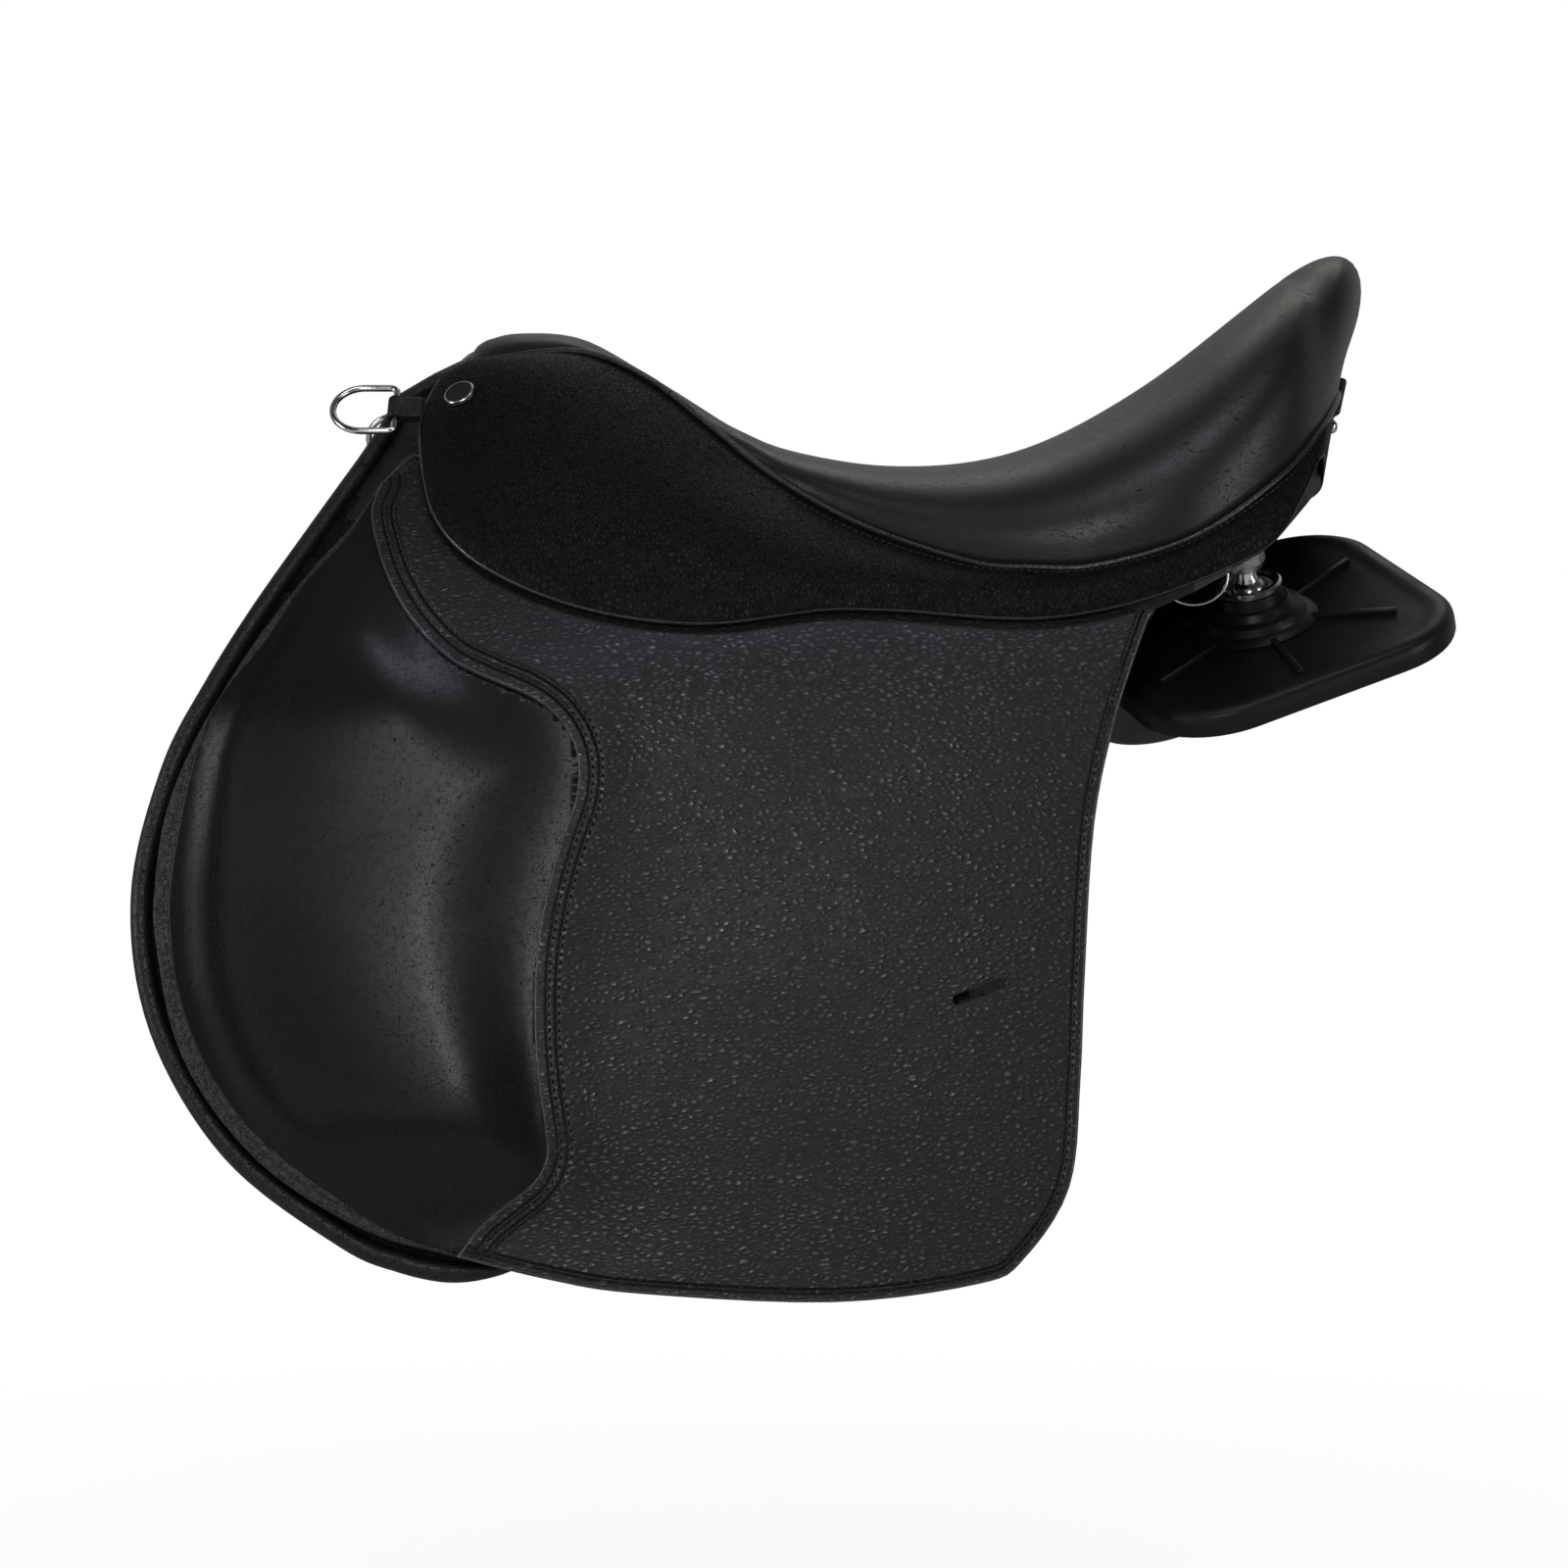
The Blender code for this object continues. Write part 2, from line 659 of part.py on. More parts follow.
def plate_mesh():
    """Moulded plate with a rolled rim, stepped boss and a socket, in its own frame."""
    top, bottom = -plate_drop, -plate_drop - plate_thick
    steps = 4 * len(plate_angles)
    socket = ball_radius + ball_play + liner_wall + ball_play
    rim = [(6.0, bottom), (0.6, bottom + 2.6), (0.0, bottom + 8.0), (3.4, top + 0.4),
           (8.0, top + 1.0), (15.0, top)]
    boss = [(29, top + 0.2), (26, top + 2.8), (23.5, top + 6.5), (19.5, top + 6.8),
            (18, top + 11), (15.2, 3.0), (socket, 3.0)]
    boss += [(socket * math.cos(math.radians(d)), socket * math.sin(math.radians(d)))
             for d in liner_degrees[1:4]]
    verts, rings = [], []
    for inset, height in rim:
        ring = rounded_square(plate_size - 2 * inset, plate_corner - inset)
        rings.append(list(range(len(verts), len(verts) + steps)))
        verts += [Vector((x, y, height)) for x, y in ring]
    angles = [math.radians(90 * quarter + d) for quarter in range(4) for d in plate_angles]
    for radius, height in boss:
        rings.append(list(range(len(verts), len(verts) + steps)))
        verts += [Vector((radius * math.cos(a), radius * math.sin(a), height)) for a in angles]
    faces = [list(reversed(rings[0]))]
    for low, high in zip(rings, rings[1:]):
        for step in range(steps):
            nxt = (step + 1) % steps
            faces.append((low[step], low[nxt], high[nxt], high[step]))
    centre = len(verts)
    verts.append(Vector((0, 0, -socket)))
    last = rings[-1]
    faces += [(last[s], last[(s + 1) % steps], centre) for s in range(steps)]
    return verts, faces


def box_mesh(low, high):
    verts = [Vector((x, y, z)) for z in (low[2], high[2]) for y in (low[1], high[1])
             for x in (low[0], high[0])]
    faces = [(0, 2, 3, 1), (4, 5, 7, 6), (0, 1, 5, 4), (2, 6, 7, 3), (0, 4, 6, 2), (1, 3, 7, 5)]
    return verts, faces


def place(shape, turn, centre):
    verts, faces = shape
    return [turn @ Vector(v) + Vector(centre) for v in verts], faces


def build_unit(end, side, flip):
    """One ball stud with its liner, ribbed plate and lock ring."""
    centre, normal, hint = units[end]
    turn = frame_at(normal, hint)
    name = f"{end}_{side}"
    verts, faces = place(revolve(stud_profile(), 12), turn, centre)
    add_object(f"ball_stud_{name}", verts, faces, "steel", flip, centre)
    verts, faces = place(revolve(liner_profile(), 12), turn, centre)
    add_object(f"ball_liner_{name}", verts, faces, "nylon", flip, centre)
    verts, faces = place(plate_mesh(), turn, centre)
    plate = add_object(f"plate_{name}", verts, faces, "rubber", flip, centre)
    ribs = []
    for index in range(rib_count):
        angle = math.radians(22.5 + 360 * index / rib_count)
        spin = turn @ Matrix.Rotation(angle, 3, "Z")
        reach = rib_reach if index % 2 == 0 else rib_reach * 0.93
        ribs.append(place(box_mesh((26, -rib_wide / 2, -plate_drop - 3),
                                   (reach - 8, rib_wide / 2, -plate_drop + rib_high - 1.2)),
                          spin, centre))
    for rib in ribs:
        cutter = add_object("rib_guide", *rib, "rubber", flip, centre)
        boolean(plate, cutter, "UNION")
    ring = [(12.6, 3.3), (15.8, 3.3), (15.8, 5.2), (14.6, 6.4), (12.6, 6.4)]
    verts, faces = place(revolve(ring, 16, closed=True), turn, centre)
    add_object(f"lock_ring_{name}", verts, faces, "steel", flip, centre)


def beyond_section(point, depth):
    """Whether a near side point lies outside the tree's section at a depth."""
    section = tree_section(point.x, depth)
    best = None
    for a, b in zip(section, section[1:]):
        along = b - a
        part = max(0.0, min(1.0, (point - a).dot(along) / along.length_squared))
        away = point - (a + along * part)
        side = Vector((0, -along.z, along.y)).dot(away)
        if best is None or away.length < best[0]:
            best = (away.length, side > 0)
    return best[1]


def boss_top(end):
    """Distance along the stud at which its boss has sunk into the strap."""
    centre, normal, hint = units[end]
    reach = stud_length + 2.0
    while not beyond_section(centre + normal * reach, tree_wall + gap + strap_thick * 0.6):
        reach += 0.5
    return reach


def build_brackets():
    """Steel straps under the tree that carry the ball studs in blind bosses."""
    for end, name, stations, first in (
            ("front", "gullet_plate", gullet_stations, 1),
            ("rear", "rear_bridge", bridge_stations, rail_points)):
        verts, faces = tree_shell(stations, tree_wall + gap, strap_thick, first)
        strap = add_object(name, verts, faces, "steel")
        bed = tree_wall + gap * 2
        centre, normal, hint = units[end]
        turn = frame_at(normal, hint)
        low, high = stud_flange_high + gap, boss_top(end) + 5.0
        for flip in (False, True):
            boss = place(revolve([(0, low), (boss_radius, low), (boss_radius, high),
                                  (0, high)], 16), turn, centre)
            boss = add_object("boss_guide", *boss, "steel", flip)
            trim = tree_shell(tree_stations, bed, -bed - 8.0)
            boolean(boss, add_object("trim_guide", *trim, "steel"), "DIFFERENCE")
            boolean(strap, boss, "UNION")
            radius, deep = stud_shank + gap, stud_length + gap
            hole = place(revolve([(0, low - 2), (radius, low - 2), (radius, deep), (0, deep)],
                                 16), turn, centre)
            boolean(strap, add_object("hole_guide", *hole, "steel", flip), "DIFFERENCE")


def skirt_grid(depth, rows=6):
    """Grid of skirt points from the welt down to its lower edge."""
    stations = [index for index in seat_stations() if index >= 2 * seat_stride]
    columns = len(stations)
    edge = [side_point(x, z, skirt_out + skirt_thick) for x, z in spline(skirt_edge, 6)]
    edge += [Vector((264, -76, 160)), Vector((270, -38, 168)), Vector((272, -gap / 2, 171))]
    lower = resample([tuple(p) for p in edge], columns)
    upper = [(welt[i][0], welt[i][1], welt[i][2] - skirt_drop) for i in stations]
    upper[-1] = (upper[-1][0], -gap / 2, upper[-1][2])
    grid = []
    for c in range(columns):
        a, b = Vector(upper[c]), Vector(lower[c])
        line = []
        for r in range(rows):
            part = r / (rows - 1)
            bulge = 4 * part * (1 - part) * skirt_bulge * (b - a).length
            out = Vector((0, -1, 0.7)).normalized()
            line.append(a + (b - a) * part + out * bulge)
        grid.append(line)
    if not depth:
        return grid
    moved = []
    for c, station in enumerate(stations):
        x, y, z = welt[station]
        outward = Vector((x - max(seat_front_x, min(seat_rear_x, x)), y, 0)).normalized()
        rear = smoothstep((x - 200) / 55)
        line = []
        for r in range(rows):
            rise = (0.9 - 0.7 * r / (rows - 1)) * (1 - rear) + 0.2 * rear
            line.append(grid[c][r] - (outward + Vector((0, 0, rise))).normalized() * depth)
        moved.append(line)
    last = moved[-1]
    moved[-1] = [Vector((p.x, -gap / 2, p.z)) for p in last]
    return moved


def build_skirt(side, flip):
    verts, faces = grid_shell(skirt_grid(0.0), skirt_grid(skirt_thick))
    front = side_point(*skirt_bend_front, skirt_bend_out)
    rear = side_point(*skirt_bend_rear, skirt_bend_out)
    axis = (rear - front).normalized()
    normal = axis.cross(side_normal(-80, 120)).normalized()
    if normal.z < 0:
        normal.negate()
    band = cut_solid(verts, faces, front + normal * gap / 2, -normal)
    lobe = cut_solid(verts, faces, front - normal * gap / 2, normal)
    add_object(f"skirt_band_{side}", *band, "grain_leather", flip)
    add_object(f"skirt_lobe_{side}", *lobe, "grain_leather", flip, front)


# outlines on the side surface, as (x, z)
flap_front = [(-191.8, 139.2), (-203, 119), (-218, 100), (-240.1, 68.3), (-255.7, 42.4),
              (-269.1, 17.4), (-280.3, -13.1), (-284.4, -44), (-283.7, -71.3), (-270.2, -123.7),
              (-235.5, -169.2), (-187.7, -199.3), (-146.1, -211.3)]
flap_rear = [(-146.1, -211.3), (-104.6, -221.2), (-65.3, -227.2), (21.8, -231), (87.1, -222.9),
             (106.8, -212.2), (127.7, -180), (133, -132.4), (135.3, -88.8), (140.5, -18.4),
             (151.3, 30.4), (165.5, 70.2), (170.2, 78.1)]
panel_front = [(-168.1, 68.7), (-151.8, 53.6), (-133.8, 44.9), (-115.8, 37.6), (-102.3, 27.5),
               (-94.1, 12.2), (-94, -5.5), (-106, -45.2), (-112.2, -89), (-110.5, -132.5),
               (-107.2, -154.2), (-106.2, -167.1), (-122.2, -186.5), (-145.9, -210.1)]
flap_top_edge = [(160, 80), (110, 80), (60, 84), (20, 96), (-15, 106), (-40, 112), (-75, 115),
                 (-150, 117), (-165, 132), (-182, 147)]
roll_path = [(-186, 195), (-192.8, 183), (-203, 166.2), (-213.1, 149.5), (-228.3, 124.5),
             (-249, 88.9), (-268.2, 49.3), (-286.2, 7.6), (-297, -41.9), (-297, -60.6),
             (-285.6, -109.3), (-248, -161.9), (-194.3, -197.7), (-149.9, -214),
             (-118, -217.5)]
sweat_rear = [(-104, -215), (-40, -220), (30, -214), (56, -196), (66, -160), (68, -60), (70, 40),
              (70, 58), (20, 60), (-60, 60), (-140, 66), (-165, 90), (-180, 120), (-191, 141)]
grid_x = (-200, -100, 0, 50, 100)
grid_z = (-120, -10, 22, 40, 53, 80, 95, 110, 125, 140, 160, 175)
pad_grid_x = (-250, -215, -180, -145, -115)
pad_grid_z = (-170, -120, -70, -10, 22, 40, 53)


def knee_crown(x, z):
    """Height of the knee pad over the lining: full at the thigh roll, thin at the edges."""
    across = (x + 190) / 96
    along = (z + 75) / 145
    rise = max(0.0, 1 - across * across) * max(0.0, 1 - along * along)
    return 2.6 + 7.5 * rise ** 0.7


def clip_outline(points, level, above):
    """Polygon part above or below a level, as a new outline."""
    result = []
    for index, (x, z) in enumerate(points):
        px, pz = points[index - 1]
        inside = (z >= level) if above else (z <= level)
        was = (pz >= level) if above else (pz <= level)
        if inside != was:
            part = (level - pz) / (z - pz)
            result.append((px + (x - px) * part, level))
        if inside:
            result.append((x, z))
    return result


def build_flap(side, flip):
    """Flap: fixed top, and the lifting lining, panel and knee pad below the bend."""
    front, rear = spline(flap_front, 2), spline(flap_rear, 2)
    whole = front + rear[1:] + spline(flap_top_edge, 2)
    lifted = clip_outline(whole, flap_bend_z - gap / 2, False)
    fixed = clip_outline(whole, flap_bend_z + gap / 2, True)
    full = lining_thick + gap + panel_thick
    add_object(f"flap_top_{side}", *sheet(fixed, grid_x, grid_z, 0.0, full), "grain_leather",
               flip)
    pivot = (0, -flap_axis_y, flap_bend_z)
    lining = add_object(f"flap_lining_{side}", *sheet(lifted, grid_x, grid_z, 0.0, lining_thick),
                        "bridle_leather", flip, pivot)
    edge = spline(panel_front, 2)
    panel = clip_outline(edge + rear[1:] + [(-60, 90), (-168.1, 90)], flap_bend_z - gap / 2,
                         False)
    low = lining_thick + gap
    outer = add_object(f"flap_panel_{side}", *sheet(panel, grid_x, grid_z, low, full),
                       "grain_leather", flip, pivot)
    pad_edge = [(x - 0.6, z - 0.3) for x, z in edge]
    pad = clip_outline(front[:-1] + pad_edge[-2::-1] + [(-168.7, 90)], flap_bend_z - gap / 2,
                       False)
    add_object(f"knee_pad_{side}",
               *sheet(pad, pad_grid_x, pad_grid_z, low, lambda x, z: low + knee_crown(x, z)),
               "smooth_leather", flip, pivot)
    for piece in (lining, outer):
        cutter = add_object("slot_guide", *slot_cutter(), "steel", flip)
        boolean(piece, cutter, "DIFFERENCE")


def slot_cutter():
    """Round-ended keeper slot through the flap."""
    cx, cz, rise = 87.7, -93.6, math.radians(22.8)
    half = slot_long / 2 - slot_wide / 2
    outline = []
    for end in (1, -1):
        for step in range(5):
            angle = math.radians(-90 + 45 * step) + (0 if end > 0 else math.pi)
            lx = end * half + slot_wide / 2 * math.cos(angle)
            lz = slot_wide / 2 * math.sin(angle)
            outline.append((cx + lx * math.cos(rise) - lz * math.sin(rise),
                            cz + lx * math.sin(rise) + lz * math.cos(rise)))
    return sheet(outline, (), (), -5.0, 12.0)


def build_sweat_flap(side, flip):
    """Under flap against the horse, with the rolled front edge the photo shows."""
    out = sweat_in + sweat_thick / 2
    path = spline(roll_path, 2)
    points = [side_point(x, z, out) for x, z in path]
    add_object(f"front_roll_{side}", *tube(points, roll_radius, 8), "smooth_leather", flip)
    inner = []
    for index, (x, z) in enumerate(path):
        before, after = path[max(index - 1, 0)], path[min(index + 1, len(path) - 1)]
        along = Vector((after[0] - before[0], after[1] - before[1])).normalized()
        inset = roll_radius + gap
        inner.append((x - along.y * inset, z + along.x * inset))
    outline = inner[6:] + sweat_rear
    add_object(f"sweat_flap_{side}",
               *sheet(outline, grid_x, grid_z, sweat_in, sweat_in + sweat_thick),
               "grain_leather", flip)


def build_billets(side, flip):
    """Two girth straps hung inside the rail, with a row of holes and a pointed end."""
    low = sweat_in + sweat_thick + gap
    for name, x in (("front", billet_front_x), ("rear", billet_rear_x)):
        half = billet_wide / 2
        outline = [(x - half, billet_tops_z), (x - half, billet_ends_z + 12),
                   (x - half * 0.55, billet_ends_z), (x + half * 0.55, billet_ends_z),
                   (x + half, billet_ends_z + 12), (x + half, billet_tops_z)]
        strap = add_object(f"billet_{name}_{side}",
                           *sheet(outline, grid_x, grid_z, low, low + billet_thick),
                           "bridle_leather", flip)
        for hole in range(billet_hole_count):
            z = billet_ends_z + 24 + hole * billet_hole_pitch
            turn = frame_at(side_normal(x, z))
            cutter = place(revolve([(0, -20), (billet_hole, -20), (billet_hole, 0),
                                    (0, 0)], 6), turn, side_point(x, z, 3))
            boolean(strap, add_object("hole_guide", *cutter, "steel", flip), "DIFFERENCE")


def build_stirrup_bar(side, flip):
    """Forged bar riveted to the tree, open at the rear, with its hinged catch."""
    centre_x, centre_z = bar_at
    normal = side_normal(centre_x, centre_z)
    along = (side_point(centre_x + 40, centre_z, 0) - side_point(centre_x - 40, centre_z, 0))
    turn = frame_at(normal, along)
    origin = side_point(centre_x, centre_z, gap + 0.1)
    half = bar_length / 2
    base, top = 2.0, 2.0 + bar_gap + blade_thick
    catch_from = half - 26
    profile = [(-half, 0), (half - 14, 0), (half - 14, base), (-half + 22, base),
               (-half + 14, base + 3), (-half + 14, top - blade_thick - 2),
               (-half + 20, top - blade_thick), (half - 12, top - blade_thick),
               (half - 12, top - catch_thick - gap), (catch_from, top - catch_thick - gap),
               (catch_from, top), (-half + 8, top), (-half, top - 6)]
    count = len(profile)
    verts = [Vector((x, y, z)) for y in (-bar_high / 2, bar_high / 2) for x, z in profile]
    faces = [list(range(count)), list(range(2 * count - 1, count - 1, -1))]
    faces += [(i, (i + 1) % count, (i + 1) % count + count, i + count) for i in range(count)]
    add_object(f"stirrup_bar_{side}", *place((verts, faces), turn, origin), "steel", flip)
    root = bar_high / 2 - 1
    hinge = Vector((catch_from + gap + root, 0, top))
    catch = [(hinge.x + root * math.cos(math.radians(a)), root * math.sin(math.radians(a)))
             for a in range(90, 271, 30)]
    catch += [(hinge.x + 14, -root + 1), (hinge.x + 19, 0.5), (hinge.x + 18, root - 1)]
    catch = prism(catch, top - catch_thick, top)
    pivot = turn @ hinge + origin
    add_object(f"stirrup_catch_{side}", *place(catch, turn, origin), "steel", flip, pivot)


def ring_path(reach, height, steps=12):
    """D outline in its own plane: straight bar on the Y axis, loop towards +X."""
    points = [(0, -height / 2), (reach * 0.3, -height / 2)]
    for step in range(1, steps):
        angle = math.radians(-90 + 180 * step / steps)
        points.append((reach * 0.3 + reach * 0.7 * math.cos(angle), height / 2 * math.sin(angle)))
    points += [(reach * 0.3, height / 2), (0, height / 2), (0, height / 4), (0, 0),
               (0, -height / 4)]
    return points


def prism(outline, low, high):
    """Prism of an (x, y) outline along local Z."""
    count = len(outline)
    verts = [Vector((x, y, z)) for z in (low, high) for x, y in outline]
    faces = [list(range(count)), list(range(2 * count - 1, count - 1, -1))]
    faces += [(i, (i + 1) % count, (i + 1) % count + count, i + count) for i in range(count)]
    return verts, faces


def prism_ring(outer, inner, low, high):
    """Prism along local Z with a through hole; both outlines have as many points."""
    count = len(outer)
    verts = [Vector((x, y, z)) for z in (low, high) for x, y in outer]
    verts += [Vector((x, y, z)) for z in (low, high) for x, y in inner]
    faces = []
    for i in range(count):
        j = (i + 1) % count
        faces.append((i, j, j + count, i + count))
        faces.append((i + 2 * count, i + 3 * count, j + 3 * count, j + 2 * count))
        faces.append((i, i + 2 * count, j + 2 * count, j))
        faces.append((i + count, j + count, j + 3 * count, i + 3 * count))
    return verts, faces


def chape(bore, wall, tail, wide):
    """Loop round a bar along local Z, with a tongue towards +X."""
    count = 12
    inner, outer = [], []
    for i in range(count):
        angle = 2 * math.pi * i / count
        inner.append((bore * math.cos(angle), bore * math.sin(angle)))
        outer.append(((bore + wall) * math.cos(angle), (bore + wall) * math.sin(angle)))
    outer[0] = (tail, 0.0)
    outer[1] = (tail, outer[2][1] * 0.8)
    outer[-1] = (tail, outer[-2][1] * 0.8)
    return prism_ring(outer, inner, -wide / 2, wide / 2)


def build_ring(name, holder, flip, centre, bar, loop, wire, reach, height, tail, wide):
    """D ring on its bar, and the leather chape that holds the bar."""
    turn = frame_at(bar, loop)
    path = [turn @ Vector((x, 0, y)) + centre for x, y in ring_path(reach, height)]
    add_object(name, *tube(path, wire, 6, closed=True, up=turn @ Vector((0, 1, 0))), "steel",
               flip, centre)
    back = turn @ Matrix.Rotation(math.pi, 3, "Z")
    add_object(holder, *place(chape(wire + gap, 2.0, tail, wide), back, centre),
               "bridle_leather", flip)


def build_rings(side, flip):
    x, z = front_ring_at
    centre = side_point(x, z, facing_thick + gap + 4.0)
    slope = Vector((1, 0, 0)).cross(side_normal(x, z))
    build_ring(f"front_dee_{side}", f"front_dee_chape_{side}", flip, centre, slope,
               Vector((-1, 0, 0)), front_ring_wire, front_ring_reach, front_ring_height, 13.3,
               13.0)
    build_ring(f"rear_dee_{side}", f"rear_dee_chape_{side}", flip, Vector(rear_ring_at),
               Vector((1, 0, 0)), Vector((0, 0, -1)), rear_ring_wire, rear_ring_reach,
               rear_ring_height, 4.2, 15.0)


def build_badge(side, flip):
    """Plain round disc on the skirt beside the pommel."""
    grid = skirt_grid(0.0)
    column, row = badge_cell
    point = grid[column][row]
    along = grid[column + 1][row] - grid[column - 1][row]
    down = grid[column][row + 1] - grid[column][row - 1]
    normal = down.cross(along).normalized()
    if normal.y > 0:
        normal.negate()
    profile = [(0, 0), (badge_radius, 0), (badge_radius, badge_thick * 0.6),
               (badge_radius - 0.8, badge_thick), (0, badge_thick)]
    add_object(f"badge_{side}", *place(revolve(profile, 20), frame_at(normal),
                                       point + normal * badge_lift), "steel", flip)


def build_cantle_tab():
    """Small leather keeper and its stud on the back of the cantle."""
    turn = Matrix.Rotation(math.radians(9), 3, "Y")
    low, high = Vector((-1.4, -8, -9)), Vector((1.4, 8, 9))
    add_object("cantle_strap", *place(box_mesh(low, high), turn, Vector(cantle_strap_at)),
               "bridle_leather")
    profile = [(0, 0), (3.4, 0), (3.4, 1.0), (2.2, 2.4), (0, 2.9)]
    add_object("cantle_stud", *place(revolve(profile, 12), frame_at((1, 0, -0.15), (0, 0, 1)),
                                     Vector(cantle_stud_at)), "steel")


def build_facing():
    """Leather facing from the tree's front end out to the piped edge of the arch."""
    edge = [tuple(side_point(x, z, facing_edge_out)) for x, z in facing_edge]
    edge = resample(edge + facing_crest, 9)
    section = tree_section(tree_front_x, 1.5)
    start = next(i for i, p in enumerate(section) if p.z > facing_low_z)
    back = [(tree_front_x - gap, p.y, p.z) for p in section[start - 1:]]
    back = resample(back, 9)
    outer, inner = [], []
    for front, rear in zip(edge, back):
        a, b = Vector(front), Vector(rear)
        row = [a, (a + b) / 2 + Vector((0, -0.6, 0.8)) * 0.4, b]
        outer.append(row)
        inward = Vector((0, -a.y, -40 - (a.z - 150) * 0.6)).normalized()
        inner.append([p + inward * facing_thick for p in row])
    for grid in (outer, inner):
        grid += [[Vector((p.x, -p.y, p.z)) for p in row] for row in grid[-2::-1]]
    add_object("pommel_facing", *grid_shell(outer, inner), "smooth_leather")


def build_side(side, flip):
    build_skirt(side, flip)
    build_flap(side, flip)
    build_sweat_flap(side, flip)
    build_billets(side, flip)
    build_stirrup_bar(side, flip)
    build_rings(side, flip)
    build_badge(side, flip)
    for end in units:
        build_unit(end, side, flip)


def build_all():
    for item in list(bpy.data.objects):
        bpy.data.objects.remove(item)
    build_tree()
    build_brackets()
    build_seat()
    build_cantle_tab()
    build_facing()
    for side, flip in (("left", False), ("right", True)):
        build_side(side, flip)


build_all()
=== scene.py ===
import math

import bmesh
import bpy
from mathutils import Matrix, Vector


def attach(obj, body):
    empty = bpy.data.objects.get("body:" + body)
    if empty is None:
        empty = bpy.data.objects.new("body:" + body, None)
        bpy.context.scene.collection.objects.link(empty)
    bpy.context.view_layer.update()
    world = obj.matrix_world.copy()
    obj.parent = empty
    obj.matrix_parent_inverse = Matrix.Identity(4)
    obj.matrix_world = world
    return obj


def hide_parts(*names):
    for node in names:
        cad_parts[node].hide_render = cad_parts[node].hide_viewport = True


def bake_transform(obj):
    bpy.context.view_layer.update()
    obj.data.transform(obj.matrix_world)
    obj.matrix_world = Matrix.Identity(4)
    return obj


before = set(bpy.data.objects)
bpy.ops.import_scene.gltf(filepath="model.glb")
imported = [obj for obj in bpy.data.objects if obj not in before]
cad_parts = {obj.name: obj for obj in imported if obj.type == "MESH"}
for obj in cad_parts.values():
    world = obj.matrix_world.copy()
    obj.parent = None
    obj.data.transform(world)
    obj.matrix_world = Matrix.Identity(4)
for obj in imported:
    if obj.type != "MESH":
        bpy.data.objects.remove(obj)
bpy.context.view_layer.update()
mm = 0.001
print("frame loaded")


# shader nodes, each input given a value or a socket to link from

def addNode(tree, kind, inputs=None, **settings):
    node = tree.nodes.new("ShaderNode" + kind)
    for key, value in settings.items():
        setattr(node, key, value)
    for key, value in (inputs or {}).items():
        if isinstance(value, bpy.types.NodeSocket):
            tree.links.new(value, node.inputs[key])
        else:
            node.inputs[key].default_value = value
    return node


def mathNode(tree, operation, first, second=0.0):
    return addNode(tree, "Math", {0: first, 1: second}, operation=operation).outputs[0]


def mapRange(tree, value, low, high, toLow=0.0, toHigh=1.0, **settings):
    limits = {"From Min": low, "From Max": high, "To Min": toLow, "To Max": toHigh, "Value": value}
    return addNode(tree, "MapRange", limits, **settings).outputs["Result"]


def stretched(tree, scale=(1, 1, 1)):
    place = addNode(tree, "TexCoord").outputs["Object"]
    return addNode(tree, "Mapping", {"Scale": scale, "Vector": place}).outputs["Vector"]


def noiseTexture(tree, vector, scale, detail=3.0, roughness=0.55, output="Fac"):
    inputs = {"Scale": scale, "Detail": detail, "Roughness": roughness, "Vector": vector}
    return addNode(tree, "TexNoise", inputs).outputs[output]


def startMaterial(name, colour, roughness, metallic=0.0, specular=0.5):
    made = bpy.data.materials.new(name)
    made.use_nodes = True
    shader = made.node_tree.nodes["Principled BSDF"]
    for key, value in (("Base Color", (*colour, 1)), ("Roughness", roughness), ("Metallic", metallic),
                       ("Specular IOR Level", specular)):
        shader.inputs[key].default_value = value
    return made, made.node_tree, shader


def addBump(tree, shader, height):  # height in mm
    bump = addNode(tree, "Bump", {"Strength": 1.0, "Distance": mm, "Height": height})
    tree.links.new(bump.outputs[0], shader.inputs["Normal"])


def tintBetween(tree, shader, share, colour, dark, pale):
    mix = addNode(tree, "Mix", data_type="RGBA")
    tree.links.new(share, mix.inputs["Factor"])
    mix.inputs[6].default_value = (*[c * dark for c in colour], 1)
    mix.inputs[7].default_value = (*[c * pale for c in colour], 1)
    tree.links.new(mix.outputs[2], shader.inputs["Base Color"])


# camera, stage and lamps

